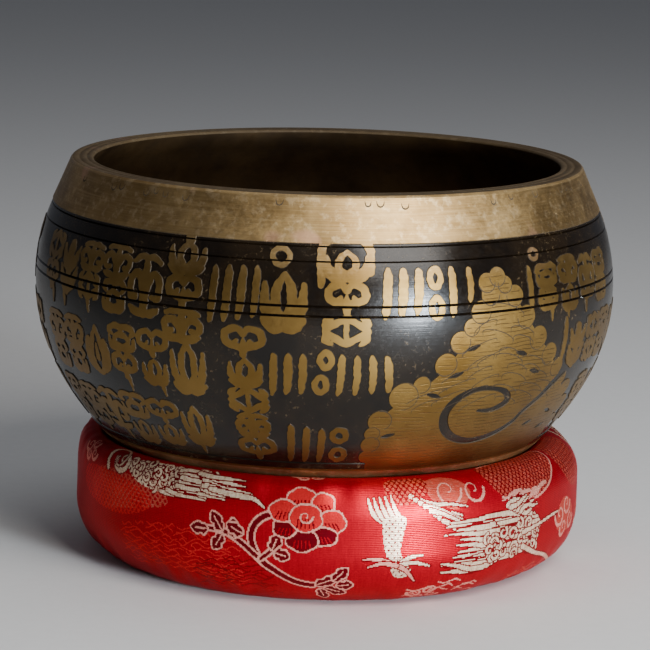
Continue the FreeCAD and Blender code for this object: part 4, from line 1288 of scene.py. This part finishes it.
def bronze_outside():
    """Bare, worn brass on the band and the relief, a dark glossy patina in the etched ground, and fine engraved lines
    that follow the cloud's scallops."""
    m = Nodes("bell_metal_outside")
    here, brass, plan = m.where(), m.named("brass"), m.named("plan", "Vector")
    cloudy, blotch, fine = m.noise(here, 38, 4, 0.55), m.noise(here, 110, 5, 0.6), m.noise(here, 900, 3, 0.6)
    rings = m.noise(m.stretch(here, (40, 40, 2600)), 1.0, 2, 0.6)
    pink = m.span(m.noise(m.stretch(here, (1, 1, 1.2)), 75, 1, 0.4), 0.70, 0.76, 0, 0.5)
    bare = m.mix(m.span(cloudy, 0.35, 0.68), (0.30, 0.18, 0.065), (0.45, 0.295, 0.125))
    bare = m.mix(m.span(blotch, 0.47, 0.66, 0, 0.65), bare, (0.21, 0.125, 0.045))
    bare = m.mix(m.span(m.noise(here, 420, 3, 0.65), 0.52, 0.68, 0, 0.55), bare, (0.62, 0.45, 0.25))
    bare = m.mix(m.span(rings, 0.42, 0.75, 0, 0.35), bare, (0.60, 0.42, 0.21))
    bare = m.mix(pink, bare, (0.62, 0.34, 0.22))

    # below the band the brass is deeper; towards the foot it is darkened further, a painted shade where the bowl sits
    # down in the cushion
    _, down, depth = m.add("ShaderNodeSeparateXYZ", {"Vector": plan}).outputs
    below = m.mix(m.span(cloudy, 0.35, 0.68), (0.150, 0.083, 0.021), (0.236, 0.144, 0.043))
    bare = m.mix(m.span(down, 13, 24), bare, below)
    # painted shade: the brass darkens from s 62 down to the foot, just above the cushion
    bare = m.mix(m.span(down, 62, 84, 0, 0.6), bare, (0.060, 0.034, 0.010))

    waves = m.bands(m.stretch(plan, (0.6, 1, 0)), 0.26, 7.0, 2.0, 0.35)
    broken = m.span(m.noise(m.stretch(plan, (0.16, 0.35, 0)), 1.0, 2, 0.5), 0.44, 0.50)
    hairs = m.times(m.span(waves, 0.91, 0.97), m.times(broken, m.span(depth, 0.7, 1.1)))
    line = m.times(hairs, m.span(brass, 0.8, 0.95))
    bare = m.mix(m.times(line, 0.85), bare, (0.05, 0.030, 0.014))

    dark = m.mix(m.span(blotch, 0.4, 0.7), (0.003, 0.0018, 0.001), (0.008, 0.0044, 0.0018))
    dark = m.mix(m.span(cloudy, 0.5, 0.75, 0, 0.5), dark, (0.015, 0.009, 0.004))
    flecks = m.times(m.span(fine, 0.60, 0.72, 0, 0.7), m.span(blotch, 0.46, 0.62))
    dark = m.mix(flecks, dark, (0.085, 0.056, 0.026))
    m.set(Base_Color=m.mix(brass, dark, bare), Metallic=brass, Specular_IOR_Level=0.3)

    # the ground is glossy, the brass worn, and the relief's walls and the scratches are matt
    worn = m.span(m.total((cloudy, 0.6), (fine, 0.4)), 0.35, 0.65, 0.36, 0.52)
    edge = m.times(m.span(brass, 0.03, 0.08), m.span(brass, 0.2, 0.3, 1, 0))
    gloss = m.maths("SUBTRACT", worn, m.times(m.maths("SUBTRACT", 1.0, brass), 0.22))
    m.set(Roughness=m.maths("ADD", gloss, m.times(edge, 0.45)))
    m.bump(m.total((rings, 0.5), (fine, 0.35), (blotch, 0.6), (line, -0.8)), 0.5, 0.09)
    return m.mat


def bronze_inside():
    """The dark brown inside, with the lathe's and the hammer's marks."""
    m = Nodes("bell_metal_inside")
    here = m.where()
    cloudy, blotch, dents = m.noise(here, 30, 4, 0.6), m.noise(here, 140, 5, 0.6), m.noise(here, 55, 1, 0.4)
    rings = m.noise(m.stretch(here, (30, 30, 1800)), 1.0, 2, 0.6)
    colour = m.mix(m.span(cloudy, 0.35, 0.7), (0.050, 0.030, 0.015), (0.15, 0.092, 0.040))
    colour = m.mix(m.span(blotch, 0.5, 0.75, 0, 0.7), colour, (0.030, 0.019, 0.011))
    m.set(Base_Color=colour, Metallic=0.85, Roughness=m.span(blotch, 0.3, 0.7, 0.38, 0.55))
    m.bump(m.total((dents, 2.2), (rings, 0.4)), 0.6, 0.12)
    return m.mat


def brocade_cloth():
    """Satin and figures with a metallic gleam, by the colour of each square of the weave, with slubs and a twill."""
    m = Nodes("brocade")
    colour, metal, weft = m.named("threads", "Color"), m.named("threads", "Alpha"), m.named("weft", "Vector")
    slub = m.noise(m.stretch(weft, (1.6, 0.18, 1)), 1.0, 2, 0.6)
    cross = m.noise(m.stretch(weft, (0.5, 3.0, 1)), 1.0, 2, 0.6)
    grain, slow = m.noise(weft, 2.2, 2, 0.7), m.noise(weft, 0.05, 2, 0.5)
    twill = m.bands(weft, 0.62, 0.4, 1.0)
    colour = m.mix(m.span(slub, 0.3, 0.75, 0, 0.25), colour, (0.02, 0.001, 0.002))
    colour = m.mix(m.span(grain, 0.45, 0.75, 0, 0.35), colour, (0.12, 0.002, 0.005))
    colour = m.mix(m.times(m.span(slub, 0.46, 0.62, 0, 0.55), metal), colour, (0.46, 0.20, 0.11))
    colour = m.mix(m.times(m.span(cross, 0.48, 0.7, 0, 0.6), metal), colour, (0.97, 0.87, 0.70))
    m.set(Base_Color=colour, Metallic=0.7, Roughness=m.span(slow, 0.3, 0.7, 0.30, 0.42))
    m.set(Specular_IOR_Level=0.55, Specular_Tint=(1.0, 0.16, 0.19, 1.0))
    m.bump(m.total((twill, 0.5), (metal, 0.9), (cross, 0.4), (grain, 0.5)), 0.4, 0.12)
    return m.mat


def plain_cloth(name, colour, shade, rough, sheen, scale):
    """Threads or fibres of one dye."""
    m = Nodes(name)
    here = m.where()
    threads, slow = m.noise(here, scale, 3, 0.6), m.noise(here, 60, 2, 0.5)
    mottle = m.span(m.times(m.maths("ADD", threads, slow), 0.5), 0.35, 0.65)
    m.set(Base_Color=m.mix(mottle, shade, colour), Roughness=rough, Sheen_Weight=sheen)
    m.bump(threads, 0.4, 0.15)
    return m.mat


def floor_paint():
    """Plain pale paint."""
    m = Nodes("floor_paint")
    grain = m.noise(m.where(), 260, 4, 0.6)
    m.set(Base_Color=m.mix(grain, (0.60, 0.595, 0.585), (0.66, 0.655, 0.645)), Roughness=0.75)
    return m.mat


# ---- assembly

outside, inside = bronze_outside(), bronze_inside()
brocade = brocade_cloth()
lining = plain_cloth("lining_satin", (0.52, 0.008, 0.02), (0.30, 0.004, 0.010), 0.42, 0.4, 900)
fibre = plain_cloth("wadding_fibre", (0.82, 0.80, 0.75), (0.62, 0.60, 0.55), 0.9, 0.5, 400)
cotton = plain_cloth("thread_cotton", (0.50, 0.012, 0.022), (0.28, 0.006, 0.012), 0.6, 0.4, 2500)

bowl = make_bowl(outside, inside)
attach(bowl, "bowl")
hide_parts("bowl")

for piece, node, slot in (
    (make_cover(brocade), "cushion_outer_panel", "brocade"),
    (make_lining(lining), "cushion_inner_panel", "lining"),
    (make_wadding(fibre), "cushion_filling", "wadding"),
):
    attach(piece, "cushion")
    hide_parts(node)

for node in ("cushion_upper_stitches", "cushion_lower_stitches", "cushion_end_stitches"):
    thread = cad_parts[node]
    thread.data.materials.clear()
    thread.data.materials.append(cotton)

# ---- floor, light and camera

FLOOR_REACH, FLOOR_GAP = 3000, 0.00002
floor_verts = [(x * FLOOR_REACH, y * FLOOR_REACH, 0) for x, y in ((-1, -1), (1, -1), (1, 1), (-1, 1))]
floor = new_object("floor", floor_verts, [(0, 1, 2, 3)], smooth=False, mats=(floor_paint(),))
floor.location.z = -FLOOR_GAP

world = bpy.data.worlds.new("studio")
bpy.context.scene.world = world
world.use_nodes = True
sky = world.node_tree.nodes["Background"].inputs
sky["Color"].default_value, sky["Strength"].default_value = (0.84, 0.88, 1.0, 1.0), 0.11


def panel(name, place, target, size, power, colour):
    """A soft square light, in metres and watts."""
    light = bpy.data.lights.new(name, "AREA")
    light.shape = "RECTANGLE"
    light.size, light.size_y = size
    light.energy = power
    light.color = colour
    obj = bpy.data.objects.new(name, light)
    bpy.context.scene.collection.objects.link(obj)
    obj.location = place
    obj.rotation_euler = (Vector(target) - Vector(place)).to_track_quat("-Z", "Y").to_euler()


panel("key", (0.40, -0.66, 0.62), (0.0, 0.0, 0.07), (0.5, 0.5), 8.5, (1.0, 0.97, 0.93))
panel("window", (0.54, -0.78, 0.12), (0.0, 0.0, 0.07), (0.15, 0.15), 21.0, (0.82, 0.91, 1.0))
panel("top", (0.15, 0.1, 1.0), (0.0, 0.0, 0.08), (0.9, 0.8), 2.6, (0.95, 0.97, 1.0))

camera = bpy.data.objects.new("camera", bpy.data.cameras.new("camera"))
bpy.context.scene.collection.objects.link(camera)
bpy.context.scene.camera = camera
camera.data.sensor_width, camera.data.lens = 36.0, 175.2
camera.data.clip_start, camera.data.clip_end = 0.05, 50.0
ELEVATION, ROLL, DISTANCE = math.radians(10.52), math.radians(1.334), 0.935
aim = Vector((0.0, 0.0, 0.0683))
camera.location = aim + Vector((0.0, -math.cos(ELEVATION), math.sin(ELEVATION))) * DISTANCE
look = (aim - camera.location).to_track_quat("-Z", "Y")
camera.rotation_euler = (look.to_matrix().to_4x4() @ Matrix.Rotation(ROLL, 4, "Z")).to_euler()
camera.data.shift_x, camera.data.shift_y = 0.00234, -0.00412
